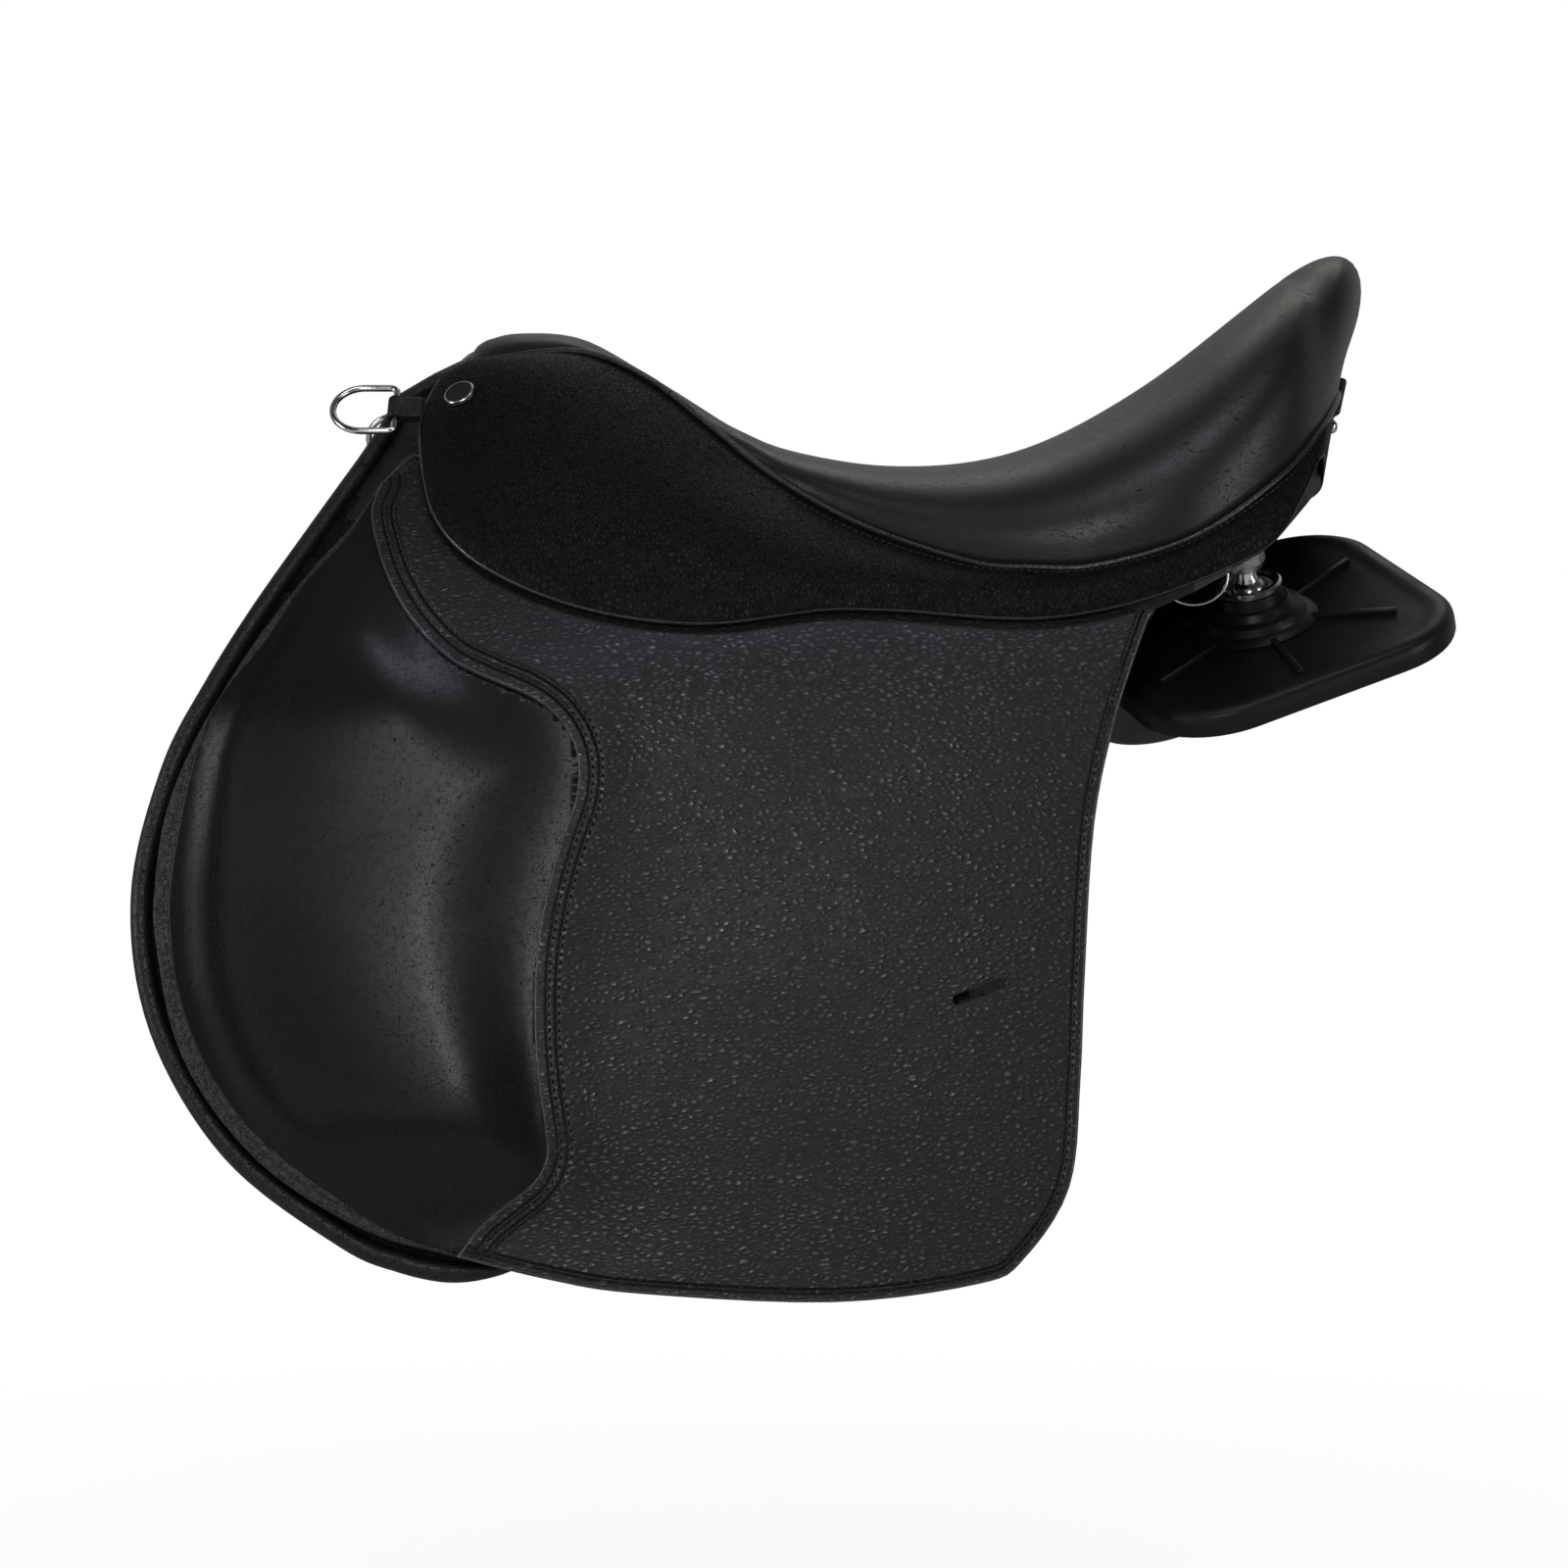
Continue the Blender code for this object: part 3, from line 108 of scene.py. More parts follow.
cameraLook = {"lens": 85, "sensor": 36, "place": (0, -1.85, 0)}
stageLook = {"floorZ": -0.42, "floorSize": 9.0, "floorTone": 0.9, "darkSide": 0.03, "paleSide": 0.3,
             "darkFrom": -0.1, "paleFrom": 0.45, "ambient": 0.035, "shadowShare": 0.06, "fadeFrom": 0.25,
             "fadeTo": 0.9}
lampLook = [
    # name, place, aim, width, height, power, colour
    ("softLeft", (-1.9, -0.85, 0.35), (-0.05, -0.15, -0.02), 0.6, 1.3, 14, (0.93, 0.95, 1.0)),
    ("keyFront", (-0.2, -1.8, 0.44), (-0.1, -0.15, -0.02), 0.22, 0.5, 6.8, (0.94, 0.95, 1.0)),
    ("highFront", (0.15, -1.0, 1.45), (0.1, -0.1, 0.1), 0.9, 0.35, 6, (0.86, 0.9, 1.0)),
    ("softRight", (1.75, -1.25, 0.3), (0.0, -0.1, -0.02), 0.6, 1.2, 10, (0.93, 0.94, 1.0)),
    ("backTop", (0.25, 0.95, 1.5), (0.1, 0, 0.1), 1.1, 0.7, 2.6, (1.0, 0.93, 0.86)),
    ("lowFill", (-0.4, -2.1, -0.7), (0.0, 0, -0.05), 1.2, 0.6, 3, (1.0, 1.0, 1.0)),
]


def addCamera():
    data = bpy.data.cameras.new("photoCamera")
    data.lens = cameraLook["lens"]
    data.sensor_width = cameraLook["sensor"]
    item = bpy.data.objects.new("photoCamera", data)
    item.location = cameraLook["place"]
    item.rotation_euler = (math.pi / 2, 0, 0)
    bpy.context.scene.collection.objects.link(item)
    bpy.context.scene.camera = item


def addLamps():
    for name, place, aim, width, height, power, colour in lampLook:
        data = bpy.data.lights.new(name, "AREA")
        data.shape = "RECTANGLE"
        data.size, data.size_y = width, height
        data.energy = power
        data.color = colour
        item = bpy.data.objects.new(name, data)
        item.location = place
        item.rotation_euler = (Vector(place) - Vector(aim)).to_track_quat("Z", "Y").to_euler()
        bpy.context.scene.collection.objects.link(item)


def addWorld():  # white to the eye, grey to gloss and darker towards the camera, faint as light
    world = bpy.data.worlds.new("paleStudio")
    bpy.context.scene.world = world
    world.use_nodes = True
    tree = world.node_tree
    background = tree.nodes["Background"]
    background.inputs["Color"].default_value = (1, 1, 1, 1)
    path = addNode(tree, "LightPath").outputs
    around = addNode(tree, "TexCoord").outputs["Generated"]
    away = addNode(tree, "SeparateXYZ", {0: around}).outputs["Y"]
    room = mapRange(tree, away, stageLook["darkFrom"], stageLook["paleFrom"], stageLook["darkSide"],
                    stageLook["paleSide"])
    glossy = mathNode(tree, "MULTIPLY", path["Is Glossy Ray"], room)
    seen = mathNode(tree, "MAXIMUM", path["Is Camera Ray"], path["Is Transmission Ray"])
    both = mathNode(tree, "MAXIMUM", seen, glossy)
    tree.links.new(mathNode(tree, "MAXIMUM", both, stageLook["ambient"]), background.inputs["Strength"])


def addFloor():  # fades into the white backdrop, and keeps a faint shadow
    bpy.ops.object.select_all(action="DESELECT")
    bpy.ops.mesh.primitive_plane_add(size=stageLook["floorSize"], location=(0, 0, stageLook["floorZ"]))
    floor = bpy.context.object
    floor.name = "paleFloor"
    made, tree, shader = startMaterial("paleFloor", [stageLook["floorTone"]] * 3, 0.9)
    place = addNode(tree, "TexCoord").outputs["Object"]
    reach = addNode(tree, "VectorMath", {0: place}, operation="LENGTH").outputs["Value"]
    fade = mapRange(tree, reach, stageLook["fadeFrom"], stageLook["fadeTo"], 1 - stageLook["shadowShare"])
    share = mathNode(tree, "MULTIPLY", addNode(tree, "LightPath").outputs["Is Camera Ray"], fade)
    glow = addNode(tree, "Emission").outputs[0]
    mix = addNode(tree, "MixShader", {0: share, 1: shader.outputs[0], 2: glow})
    tree.links.new(mix.outputs[0], tree.nodes["Material Output"].inputs["Surface"])
    floor.data.materials.append(made)


addCamera()
addLamps()
addWorld()
addFloor()
bpy.context.scene.view_settings.view_transform = "Standard"
print("camera, lamps and floor")


# materials

# the crease weight, dark and pale set a painted shade in the grain's creases, mixed with slow random tone
grainLook = {"warpScale": 0.45, "gateScale": 0.6, "gateLow": 0.42, "gateHigh": 0.56, "creaseRough": 0.22,
             "creaseShine": 0.4, "creaseShadeWeight": 0.55, "slowTone": 0.45, "dark": 0.35, "pale": 1.45,
             "duller": 0.06, "shinier": 0.05, "grooveEdge": 1.7, "grooveFloor": 0.2}


def seamGroove(tree, field, at):  # 1 where a distance stored on the mesh comes to a value in mm
    stored = addNode(tree, "Attribute", attribute_name=field).outputs["Fac"]
    away = mathNode(tree, "ABSOLUTE", mathNode(tree, "SUBTRACT", stored, at))
    return mapRange(tree, away, grainLook["grooveEdge"], grainLook["grooveFloor"])


def leatherMaterial(name, look):  # pebbles or dashes between creases, fine pores, slow changes of sheen and tone, and painted shade in the creases
    grain = grainLook
    made, tree, shader = startMaterial(name, look["colour"], look["roughness"], specular=look["specular"])
    vector, plain = stretched(tree, look["stretch"]), stretched(tree)
    warp = noiseTexture(tree, vector, look["cells"] * grain["warpScale"], 2.0, output="Color")
    moved = addNode(tree, "VectorMath", {0: warp, "Scale": look["warp"] / look["cells"]}, operation="SCALE")
    bent = addNode(tree, "VectorMath", {0: vector, 1: moved.outputs[0]}).outputs[0]
    cells = {"Scale": look["cells"], "Vector": bent}
    walls = addNode(tree, "TexVoronoi", cells, feature="DISTANCE_TO_EDGE").outputs["Distance"]
    pebble = mapRange(tree, walls, 0.0, look["crease"], interpolation_type="SMOOTHSTEP")
    broken = noiseTexture(tree, vector, look["cells"] * grain["gateScale"], 2.0)
    closed = mathNode(tree, "SUBTRACT", 1.0, mapRange(tree, broken, grain["gateLow"], grain["gateHigh"]))
    pebble = mathNode(tree, "MAXIMUM", pebble, mathNode(tree, "MULTIPLY", closed, look["broken"]))
    pores = noiseTexture(tree, plain, look["pores"], 4.0, 0.65)
    slow = noiseTexture(tree, plain, look["slow"])
    height = mathNode(tree, "ADD", mathNode(tree, "MULTIPLY", pebble, look["deep"]),
                      mathNode(tree, "MULTIPLY", pores, look["poreDeep"]))
    for field, at in look.get("grooves", ()):
        groove = mathNode(tree, "MULTIPLY", seamGroove(tree, field, at), -look["grooveDeep"])
        height = mathNode(tree, "ADD", height, groove)
    addBump(tree, shader, height)
    crease = mathNode(tree, "SUBTRACT", 1.0, pebble)
    rough = mathNode(tree, "ADD", mathNode(tree, "MULTIPLY", crease, grain["creaseRough"]),
                     mapRange(tree, slow, 0.3, 0.7, look["roughness"] - grain["shinier"],
                              look["roughness"] + grain["duller"]))
    tree.links.new(rough, shader.inputs["Roughness"])
    shine = mapRange(tree, pebble, 0.0, 1.0, look["specular"] * grain["creaseShine"], look["specular"])
    tree.links.new(shine, shader.inputs["Specular IOR Level"])
    # painted shade: the colour darkens in the creases between pebbles, as shade would, and also changes
    # slowly at random
    creaseShadeAndTone = mathNode(tree, "ADD", mathNode(tree, "MULTIPLY", pebble, grain["creaseShadeWeight"]),
                    mathNode(tree, "MULTIPLY", slow, grain["slowTone"]))
    tintBetween(tree, shader, creaseShadeAndTone, look["colour"], grain["dark"], grain["pale"])
    return made


def rubberMaterial():
    made, tree, shader = startMaterial("mouldedRubber", (0.006, 0.006, 0.0064), 0.38, specular=0.22)
    plain = stretched(tree)
    addBump(tree, shader, mathNode(tree, "MULTIPLY", noiseTexture(tree, plain, 900), 0.06))
    rough = mapRange(tree, noiseTexture(tree, plain, 26), 0.3, 0.7, 0.3, 0.5)
    tree.links.new(rough, shader.inputs["Roughness"])
    return made


def metalMaterial(name, colour, roughness, scratch):
    made, tree, shader = startMaterial(name, colour, roughness, 1.0)
    brushed = noiseTexture(tree, stretched(tree, (1, 1, 6)), 420, 4.0)
    rough = mapRange(tree, brushed, 0.35, 0.65, roughness * 0.7, roughness * 1.5)
    tree.links.new(rough, shader.inputs["Roughness"])
    addBump(tree, shader, mathNode(tree, "MULTIPLY", brushed, scratch))
    return made


def plainMaterial(name, colour, roughness, scale, deep):
    made, tree, shader = startMaterial(name, colour, roughness, specular=0.4)
    grain = noiseTexture(tree, stretched(tree), scale, 4.0, 0.6)
    addBump(tree, shader, mathNode(tree, "MULTIPLY", grain, deep))
    tintBetween(tree, shader, grain, colour, 0.6, 1.3)
    return made


# cells, pores and slow are noise scales; deep and poreDeep are mm; grooves lie at mm from a stored line
fineGrain = {"stretch": (1.0, 1.0, 1.0), "cells": 900, "warp": 0.8, "crease": 0.2, "broken": 0.8,
             "pores": 1700, "slow": 14}
leatherLooks = {
    "seatLeather": {"colour": (0.0085, 0.0075, 0.007), "roughness": 0.36, "specular": 0.42,
                    "stretch": (0.35, 1.0, 1.0), "warp": 0.6, "crease": 0.07, "broken": 0.92,
                    "pores": 1500, "slow": 9, "deep": 0.03, "poreDeep": 0.025},
    "skirtLeather": {"colour": (0.003, 0.003, 0.0032), "roughness": 0.42, "specular": 0.2,
                     "stretch": (1.0, 1.0, 0.55), "cells": 540, "warp": 0.9, "crease": 0.4, "broken": 0.3,
                     "pores": 1300, "slow": 12, "deep": 0.12, "poreDeep": 0.03,
                     "grooves": (("edgeRun", 8.5),), "grooveDeep": 0.5},
    "panelLeather": {"colour": (0.0055, 0.0055, 0.006), "roughness": 0.26, "specular": 0.7,
                     "stretch": (0.62, 1.0, 1.15), "cells": 400, "warp": 1.1, "crease": 0.6, "broken": 0.1,
                     "pores": 1100, "slow": 10, "deep": 0.19, "poreDeep": 0.02, "grooveDeep": 1.3,
                     "grooves": (("frontRun", 6.2), ("frontRun", 10.6), ("edgeRun", 4.8))},
    "padLeather": {"colour": (0.005, 0.005, 0.0052), "roughness": 0.3, "specular": 0.22,
                   "stretch": (1.0, 1.0, 0.8), "cells": 620, "warp": 1.0, "crease": 0.05, "broken": 0.96,
                   "pores": 1500, "slow": 8, "deep": 0.03, "poreDeep": 0.015},
    "bandLeather": {"colour": (0.014, 0.014, 0.0155), "roughness": 0.42, "specular": 0.5,
                    "stretch": (1.0, 1.0, 0.8), "cells": 700, "warp": 1.0, "crease": 0.25, "pores": 1500,
                    "slow": 8, "deep": 0.14, "poreDeep": 0.16, "grooves": (("edgeRun", 4.0),),
                    "grooveDeep": 0.4},
    "rollLeather": {"colour": (0.0055, 0.0055, 0.0055), "roughness": 0.36, "specular": 0.45, "cells": 800,
                    "deep": 0.08, "poreDeep": 0.1},
    "pipingLeather": {"colour": (0.012, 0.012, 0.0125), "roughness": 0.24, "specular": 0.7, "pores": 1900,
                      "deep": 0.03, "poreDeep": 0.05},
    # cut edges: a shinier dressing, and a lighter colour that is a painted highlight along the edge
    "edgeDressingAndSheen": {"colour": (0.03, 0.03, 0.032), "roughness": 0.27, "specular": 0.75, "broken": 0.9,
                    "slow": 20, "deep": 0.03, "poreDeep": 0.06},
    "strapLeather": {"colour": (0.009, 0.0085, 0.008), "roughness": 0.42, "specular": 0.4,
                     "stretch": (1.0, 1.0, 0.7), "cells": 700, "warp": 0.7, "pores": 1400, "slow": 16,
                     "deep": 0.1, "poreDeep": 0.14},
}
finish = {name: leatherMaterial(name, {**fineGrain, **look}) for name, look in leatherLooks.items()}


finish["rubber"] = rubberMaterial()
finish["chrome"] = metalMaterial("chrome", (0.66, 0.64, 0.61), 0.18, 0.01)
finish["forgedSteel"] = metalMaterial("forgedSteel", (0.42, 0.42, 0.42), 0.34, 0.05)
finish["thread"] = plainMaterial("waxedThread", (0.02, 0.02, 0.021), 0.4, 2500, 0.1)
finish["treeShell"] = plainMaterial("treeShell", (0.02, 0.02, 0.021), 0.5, 300, 0.12)
finish["nylon"] = plainMaterial("nylonLiner", (0.42, 0.41, 0.38), 0.45, 500, 0.03)
finish["foam"] = plainMaterial("openFoam", (0.5, 0.46, 0.36), 0.95, 700, 0.5)
finish["badgeFace"] = plainMaterial("badgeEnamel", (0.008, 0.008, 0.01), 0.22, 300, 0.01)
finish["badgeRim"] = metalMaterial("badgeRim", (0.6, 0.6, 0.6), 0.25, 0.02)
print("materials")


# curves and shapes shared by the leather pieces

# half the width over the leather: it leans out below the bend and in above it
sideShape = {"halfWidth": 168, "flare": 0.14, "lean": 0.70, "softness": 18, "bendFront": 70, "bendRear": 80,
             "bendReach": 150}


def smoothStep(value):
    value = max(0.0, min(1.0, value))
    return value * value * (3 - 2 * value)


def splineThrough(points, steps):
    count = len(points)
    result = []
    for span in range(count - 1):
        p1, p2 = points[span], points[span + 1]
        p0 = points[span - 1] if span else [2 * a - b for a, b in zip(p1, p2)]
        p3 = points[span + 2] if span + 2 < count else [2 * b - a for a, b in zip(p1, p2)]
        for step in range(steps):
            t = step / steps
            result.append(tuple(
                0.5 * (2 * b + (c - a) * t + (2 * a - 5 * b + 4 * c - d) * t * t
                       + (3 * b - a - 3 * c + d) * t ** 3)
                for a, b, c, d in zip(p0, p1, p2, p3)))
    result.append(tuple(points[-1]))
    return result


def fractions(count):  # count numbers spread evenly from 0 to 1
    return [index / (count - 1) for index in range(count)]


def atShares(points, shares):  # points at shares of a line's length
    lengths = [0.0]
    for a, b in zip(points, points[1:]):
        lengths.append(lengths[-1] + math.dist(a, b))
    result, span = [], 0
    for share in shares:
        target = lengths[-1] * share
        while span < len(points) - 2 and lengths[span + 1] < target:
            span += 1
        part = (target - lengths[span]) / max(lengths[span + 1] - lengths[span], 1e-9)
        result.append(tuple(a + (b - a) * part for a, b in zip(points[span], points[span + 1])))
    return result


def evenly(points, spacing):
    length = sum(math.dist(a, b) for a, b in zip(points, points[1:]))
    count = max(2, round(length / spacing))
    return atShares(points, fractions(count + 1))


def lookUp(table, x):
    if x <= table[0][0]:
        return table[0][1]
    for (x0, v0), (x1, v1) in zip(table, table[1:]):
        if x <= x1:
            return v0 + (v1 - v0) * (x - x0) / (x1 - x0)
    return table[-1][1]


def halfWidth(x, z):
    shape = sideShape
    rear = smoothStep(x / shape["bendReach"])
    bend = shape["bendFront"] + (shape["bendRear"] - shape["bendFront"]) * rear
    soft = shape["softness"] * math.log(1 + math.exp((z - bend) / shape["softness"]))
    return shape["halfWidth"] - shape["flare"] * z - shape["lean"] * soft


def sideNormal(x, z):
    e = 0.5
    slopeX = (halfWidth(x + e, z) - halfWidth(x - e, z)) / (2 * e)
    slopeZ = (halfWidth(x, z + e) - halfWidth(x, z - e)) / (2 * e)
    return Vector((-slopeX, -1.0, -slopeZ)).normalized()


def onSide(x, z, out):
    return Vector((x, -halfWidth(x, z), z)) + sideNormal(x, z) * out


# a piece from points in mm: edges past the angle smooth stay sharp, and the faces numbered for dressing,
# which lie on a cut edge, get edge dressing: shinier, and lighter in colour as a painted highlight on the
# edge
def newObject(name, verts, faces, material, smooth=60, fields=None, dressedSheenFaces=()):
    mesh = bpy.data.meshes.new(name)
    mesh.from_pydata([Vector(v) * mm for v in verts], [], faces)
    for field, values in (fields or {}).items():
        mesh.attributes.new(field, "FLOAT", "POINT").data.foreach_set("value", values)
    item = bpy.data.objects.new(name, mesh)
    bpy.context.scene.collection.objects.link(item)
    mesh.materials.append(material)
    if dressedSheenFaces:
        mesh.materials.append(finish["edgeDressingAndSheen"])
        for index in dressedSheenFaces:
            mesh.polygons[index].material_index = 1
    tidyMesh(item)
    mesh.shade_smooth()
    if smooth:
        mesh.set_sharp_from_angle(angle=math.radians(smooth))
    return item


def tidyMesh(item):
    bm = bmesh.new()
    bm.from_mesh(item.data)
    bmesh.ops.remove_doubles(bm, verts=bm.verts, dist=0.01 * mm)
    bmesh.ops.dissolve_degenerate(bm, edges=bm.edges, dist=0.005 * mm)
    bmesh.ops.recalc_face_normals(bm, faces=bm.faces)
    bm.to_mesh(item.data)
    bm.free()


def farSide(point):
    return Vector((point[0], -point[1], point[2]))


def onBoth(name, verts, faces, material, *options):  # the near piece and its mirror image
    farVerts, farFaces = [farSide(v) for v in verts], [f[::-1] for f in faces]
    return {"left": newObject(f"{name}_left", verts, faces, material, *options),
            "right": newObject(f"{name}_right", farVerts, farFaces, material, *options)}


def applyAll(item):
    bpy.ops.object.select_all(action="DESELECT")
    bpy.context.view_layer.objects.active = item
    item.select_set(True)
    for modifier in list(item.modifiers):
        bpy.ops.object.modifier_apply(modifier=modifier.name)


def gridFaces(rows, columns, closedRows=False):
    faces = []
    for r in range(rows if closedRows else rows - 1):
        for c in range(columns - 1):
            a, b = r * columns + c, ((r + 1) % rows) * columns + c
            faces.append((a, a + 1, b + 1, b))
    return faces


def tubeAlong(path, radiusAt, sides, closed=False, up=(0, 1, 0)):  # radiusAt takes a share of the path
    path = [Vector(p) for p in path]
    count = len(path)
    verts, faces = [], []
    for index, point in enumerate(path):
        if closed:
            along = path[(index + 1) % count] - path[index - 1]
        else:
            along = path[min(index + 1, count - 1)] - path[max(index - 1, 0)]
        along.normalize()
        side = along.cross(Vector(up)).normalized()
        top = side.cross(along)
        size = radiusAt(index / (count - 1))
        for step in range(sides):
            angle = 2 * math.pi * step / sides
            verts.append(point + side * size * math.cos(angle) + top * size * math.sin(angle))
    for index in range(count if closed else count - 1):
        a, b = index * sides, (index + 1) % count * sides
        for step in range(sides):
            nxt = (step + 1) % sides
            faces.append((a + step, a + nxt, b + nxt, b + step))
    if not closed:
        faces.append(list(range(sides - 1, -1, -1)))
        faces.append(list(range((count - 1) * sides, count * sides)))
    return verts, faces


def stitchRow(points, normals, length, pitch, width):  # each stitch is a small bar with tapered ends
    ends = ((-0.5, 0.35, 0.5), (-0.28, 1.0, 0.0), (0.28, 1.0, 0.0), (0.5, 0.35, 0.5))  # along, size, drop
    sink, sides = 0.15, 6
    spaced = evenly([tuple(p) for p in points], pitch)
    verts, faces = [], []
    lengths = [0.0]
    for a, b in zip(points, points[1:]):
        lengths.append(lengths[-1] + (Vector(b) - Vector(a)).length)
    total = lengths[-1]
    for index, (a, b) in enumerate(zip(spaced, spaced[1:])):
        a, b = Vector(a), Vector(b)
        along = (b - a).normalized()
        share = (index + 0.5) / (len(spaced) - 1) * total
        near = min(range(len(lengths)), key=lambda i: abs(lengths[i] - share))
        normal = Vector(normals[near]).normalized()
        side = along.cross(normal).normalized()
        middle = (a + b) / 2
        start = len(verts)
        for shift, size, drop in ends:
            centre = middle + along * length * shift + normal * (width * (0.15 - drop) - sink)
            for step in range(sides):
                angle = 2 * math.pi * step / sides
                verts.append(centre + side * width * 0.5 * size * math.cos(angle)
                             + normal * width * 0.5 * size * math.sin(angle))
        for ring in range(len(ends) - 1):
            for step in range(sides):
                nxt = (step + 1) % sides
                i = start + ring * sides
                faces.append((i + step, i + nxt, i + sides + nxt, i + sides + step))
        faces.append([start + s for s in range(sides - 1, -1, -1)])
        faces.append([start + (len(ends) - 1) * sides + s for s in range(sides)])
    return verts, faces


def insetOutline(outline, inset):  # outline runs counter-clockwise, seen from the near side
    count = len(outline)
    result = []
    for index, (x, z) in enumerate(outline):
        bx, bz = outline[index - 1]
        ax, az = outline[(index + 1) % count]
        d1 = Vector((x - bx, z - bz)).normalized()
        d2 = Vector((ax - x, az - z)).normalized()
        n = Vector((-(d1.y + d2.y), d1.x + d2.x))
        if n.length < 1e-6:
            n = Vector((-d1.y, d1.x))
        n.normalize()
        reach = inset / max(0.55, n.dot(Vector((-d1.y, d1.x))))
        result.append((x + n.x * reach, z + n.y * reach))
    return result


def areaOf(outline):
    return sum(a[0] * b[1] - b[0] * a[1] for a, b in zip(outline, outline[1:] + outline[:1])) / 2


# a closed sheet with a rounded edge, from low to highAt(x, z) in mm off the side surface; runs names lines
# whose distance is stored on the mesh, for the grooves of the stitching
def leatherSheet(outline, low, highAt, cell, edge, runs=None):
    if areaOf(outline) < 0:
        outline = outline[::-1]
    profile = [(1.0, 0.0), (0.3, 0.18), (0.0, 0.5), (0.3, 0.84), (1.0, 1.0)]  # inset, rise
    rings, verts, faces, flats = [], [], [], []
    for inset, rise in profile:
        ring = insetOutline(outline, inset * edge)
        rings.append(list(range(len(verts), len(verts) + len(ring))))
        flats += ring
        verts += [onSide(x, z, low + (highAt(x, z) - low) * rise) for x, z in ring]
    count = len(outline)
    for lower, upper in zip(rings, rings[1:]):
        for i in range(count):
            j = (i + 1) % count
            faces.append((lower[i], upper[i], upper[j], lower[j]))
    for rise, top in ((1.0, True), (0.0, False)):
        flat = insetOutline(outline, edge)
        points, polygons = fillOutline(flat, cell)
        shift = len(verts)
        flats += points
        verts += [onSide(x, z, low + (highAt(x, z) - low) * rise) for x, z in points]
        faces += [[i + shift for i in (polygon if top else polygon[::-1])] for polygon in polygons]
    fields = {name: [distanceTo(line, x, z) for x, z in flats] for name, line in (runs or {}).items()}
    return verts, faces, fields


def evenSheet(outline, low, thick, cell, edge, runs=None):  # a sheet of one thickness
    return leatherSheet(outline, low, lambda x, z: low + thick, cell, edge, runs)


def fillOutline(outline, cell):  # an outline cut into square cells, so that the sheet can bend
    bm = bmesh.new()
    bm.faces.new([bm.verts.new((x, 0, z)) for x, z in outline])
    xs, zs = [p[0] for p in outline], [p[1] for p in outline]
    for axis, values in ((Vector((1, 0, 0)), xs), (Vector((0, 0, 1)), zs)):
        cuts = int((max(values) - min(values)) / cell)
        for number in range(1, cuts):
            bmesh.ops.bisect_plane(bm, geom=bm.verts[:] + bm.edges[:] + bm.faces[:], dist=1e-4,
                                   plane_co=axis * (min(values) + cell * number), plane_no=axis)
    bmesh.ops.triangulate(bm, faces=[f for f in bm.faces if len(f.verts) > 4])
    bm.verts.index_update()
    points = [(v.co.x, v.co.z) for v in bm.verts]
    polygons = [[v.index for v in f.verts] for f in bm.faces]
    bm.free()
    return points, polygons


def distanceTo(line, x, z):  # from a polyline, in the (x, z) plane
    best = 1e9
    for (ax, az), (bx, bz) in zip(line, line[1:]):
        dx, dz = bx - ax, bz - az
        part = max(0.0, min(1.0, ((x - ax) * dx + (z - az) * dz) / (dx * dx + dz * dz + 1e-12)))
        best = min(best, math.hypot(x - ax - dx * part, z - az - dz * part))
    return best


# seat

seatLook = {
    "welt": [(-150, 0, 216), (-154, -28, 210), (-155.4, -44, 204.6), (-141.6, -49, 206.4),
             (-114.2, -53, 209.8), (-96.4, -56, 208.9), (-80.5, -60, 203.7), (-60.5, -65, 192.3),
             (-36.2, -76, 172.3), (-6.1, -90, 147.2), (35.9, -109, 122.1), (85.7, -128, 103.5),
             (113.4, -136, 100.3), (145.1, -142, 100.8), (190.5, -141, 114.5), (231.9, -122, 143.6),
             (253.5, -96, 167.1), (268, -55, 187), (275, 0, 196)],
    "middle": [(-150, 217), (-137, 222.8), (-117.5, 224.8), (-98, 221.8), (-78.4, 209.6),
               (-49, 191), (-29.4, 178.7), (0, 165.5), (29.4, 159.2), (49, 157.2), (78.4, 157.7),
               (107.7, 162.6), (137.1, 173.8), (171.4, 193.4), (195.9, 210.6), (220.4, 230.2), (245, 249.7)],
    # sections from the welt to the middle line: along the seat, where it is low, and at the cantle
    "side": [(1, 0), (1.02, 0.2), (0.99, 0.42), (0.9, 0.63), (0.74, 0.8), (0.5, 0.92), (0.25, 0.98), (0, 1)],
    "low": [(1, 0), (0.93, 0.2), (0.83, 0.4), (0.7, 0.6), (0.55, 0.76), (0.37, 0.89), (0.18, 0.97), (0, 1)],
    "rear": [(1, 0), (1.15, 0.32), (1.38, 0.62), (1.48, 0.98), (1.36, 1.17), (1.02, 1.245), (0.55, 1.17),
             (0, 1)],
    "frontX": -125, "rearX": 245, "stations": 97, "points": 25, "lowSection": 14, "cantleX": 200,
    "cantleHalf": 95, "wall": 1.6, "overFoam": 2.4,
}
weltLine = atShares(splineThrough(seatLook["welt"], 8), fractions(seatLook["stations"]))
middleLine = splineThrough(seatLook["middle"], 6)


def keelX(x):  # where the seat's middle line stands for a place on the welt
    return max(seatLook["frontX"], min(seatLook["rearX"], x))


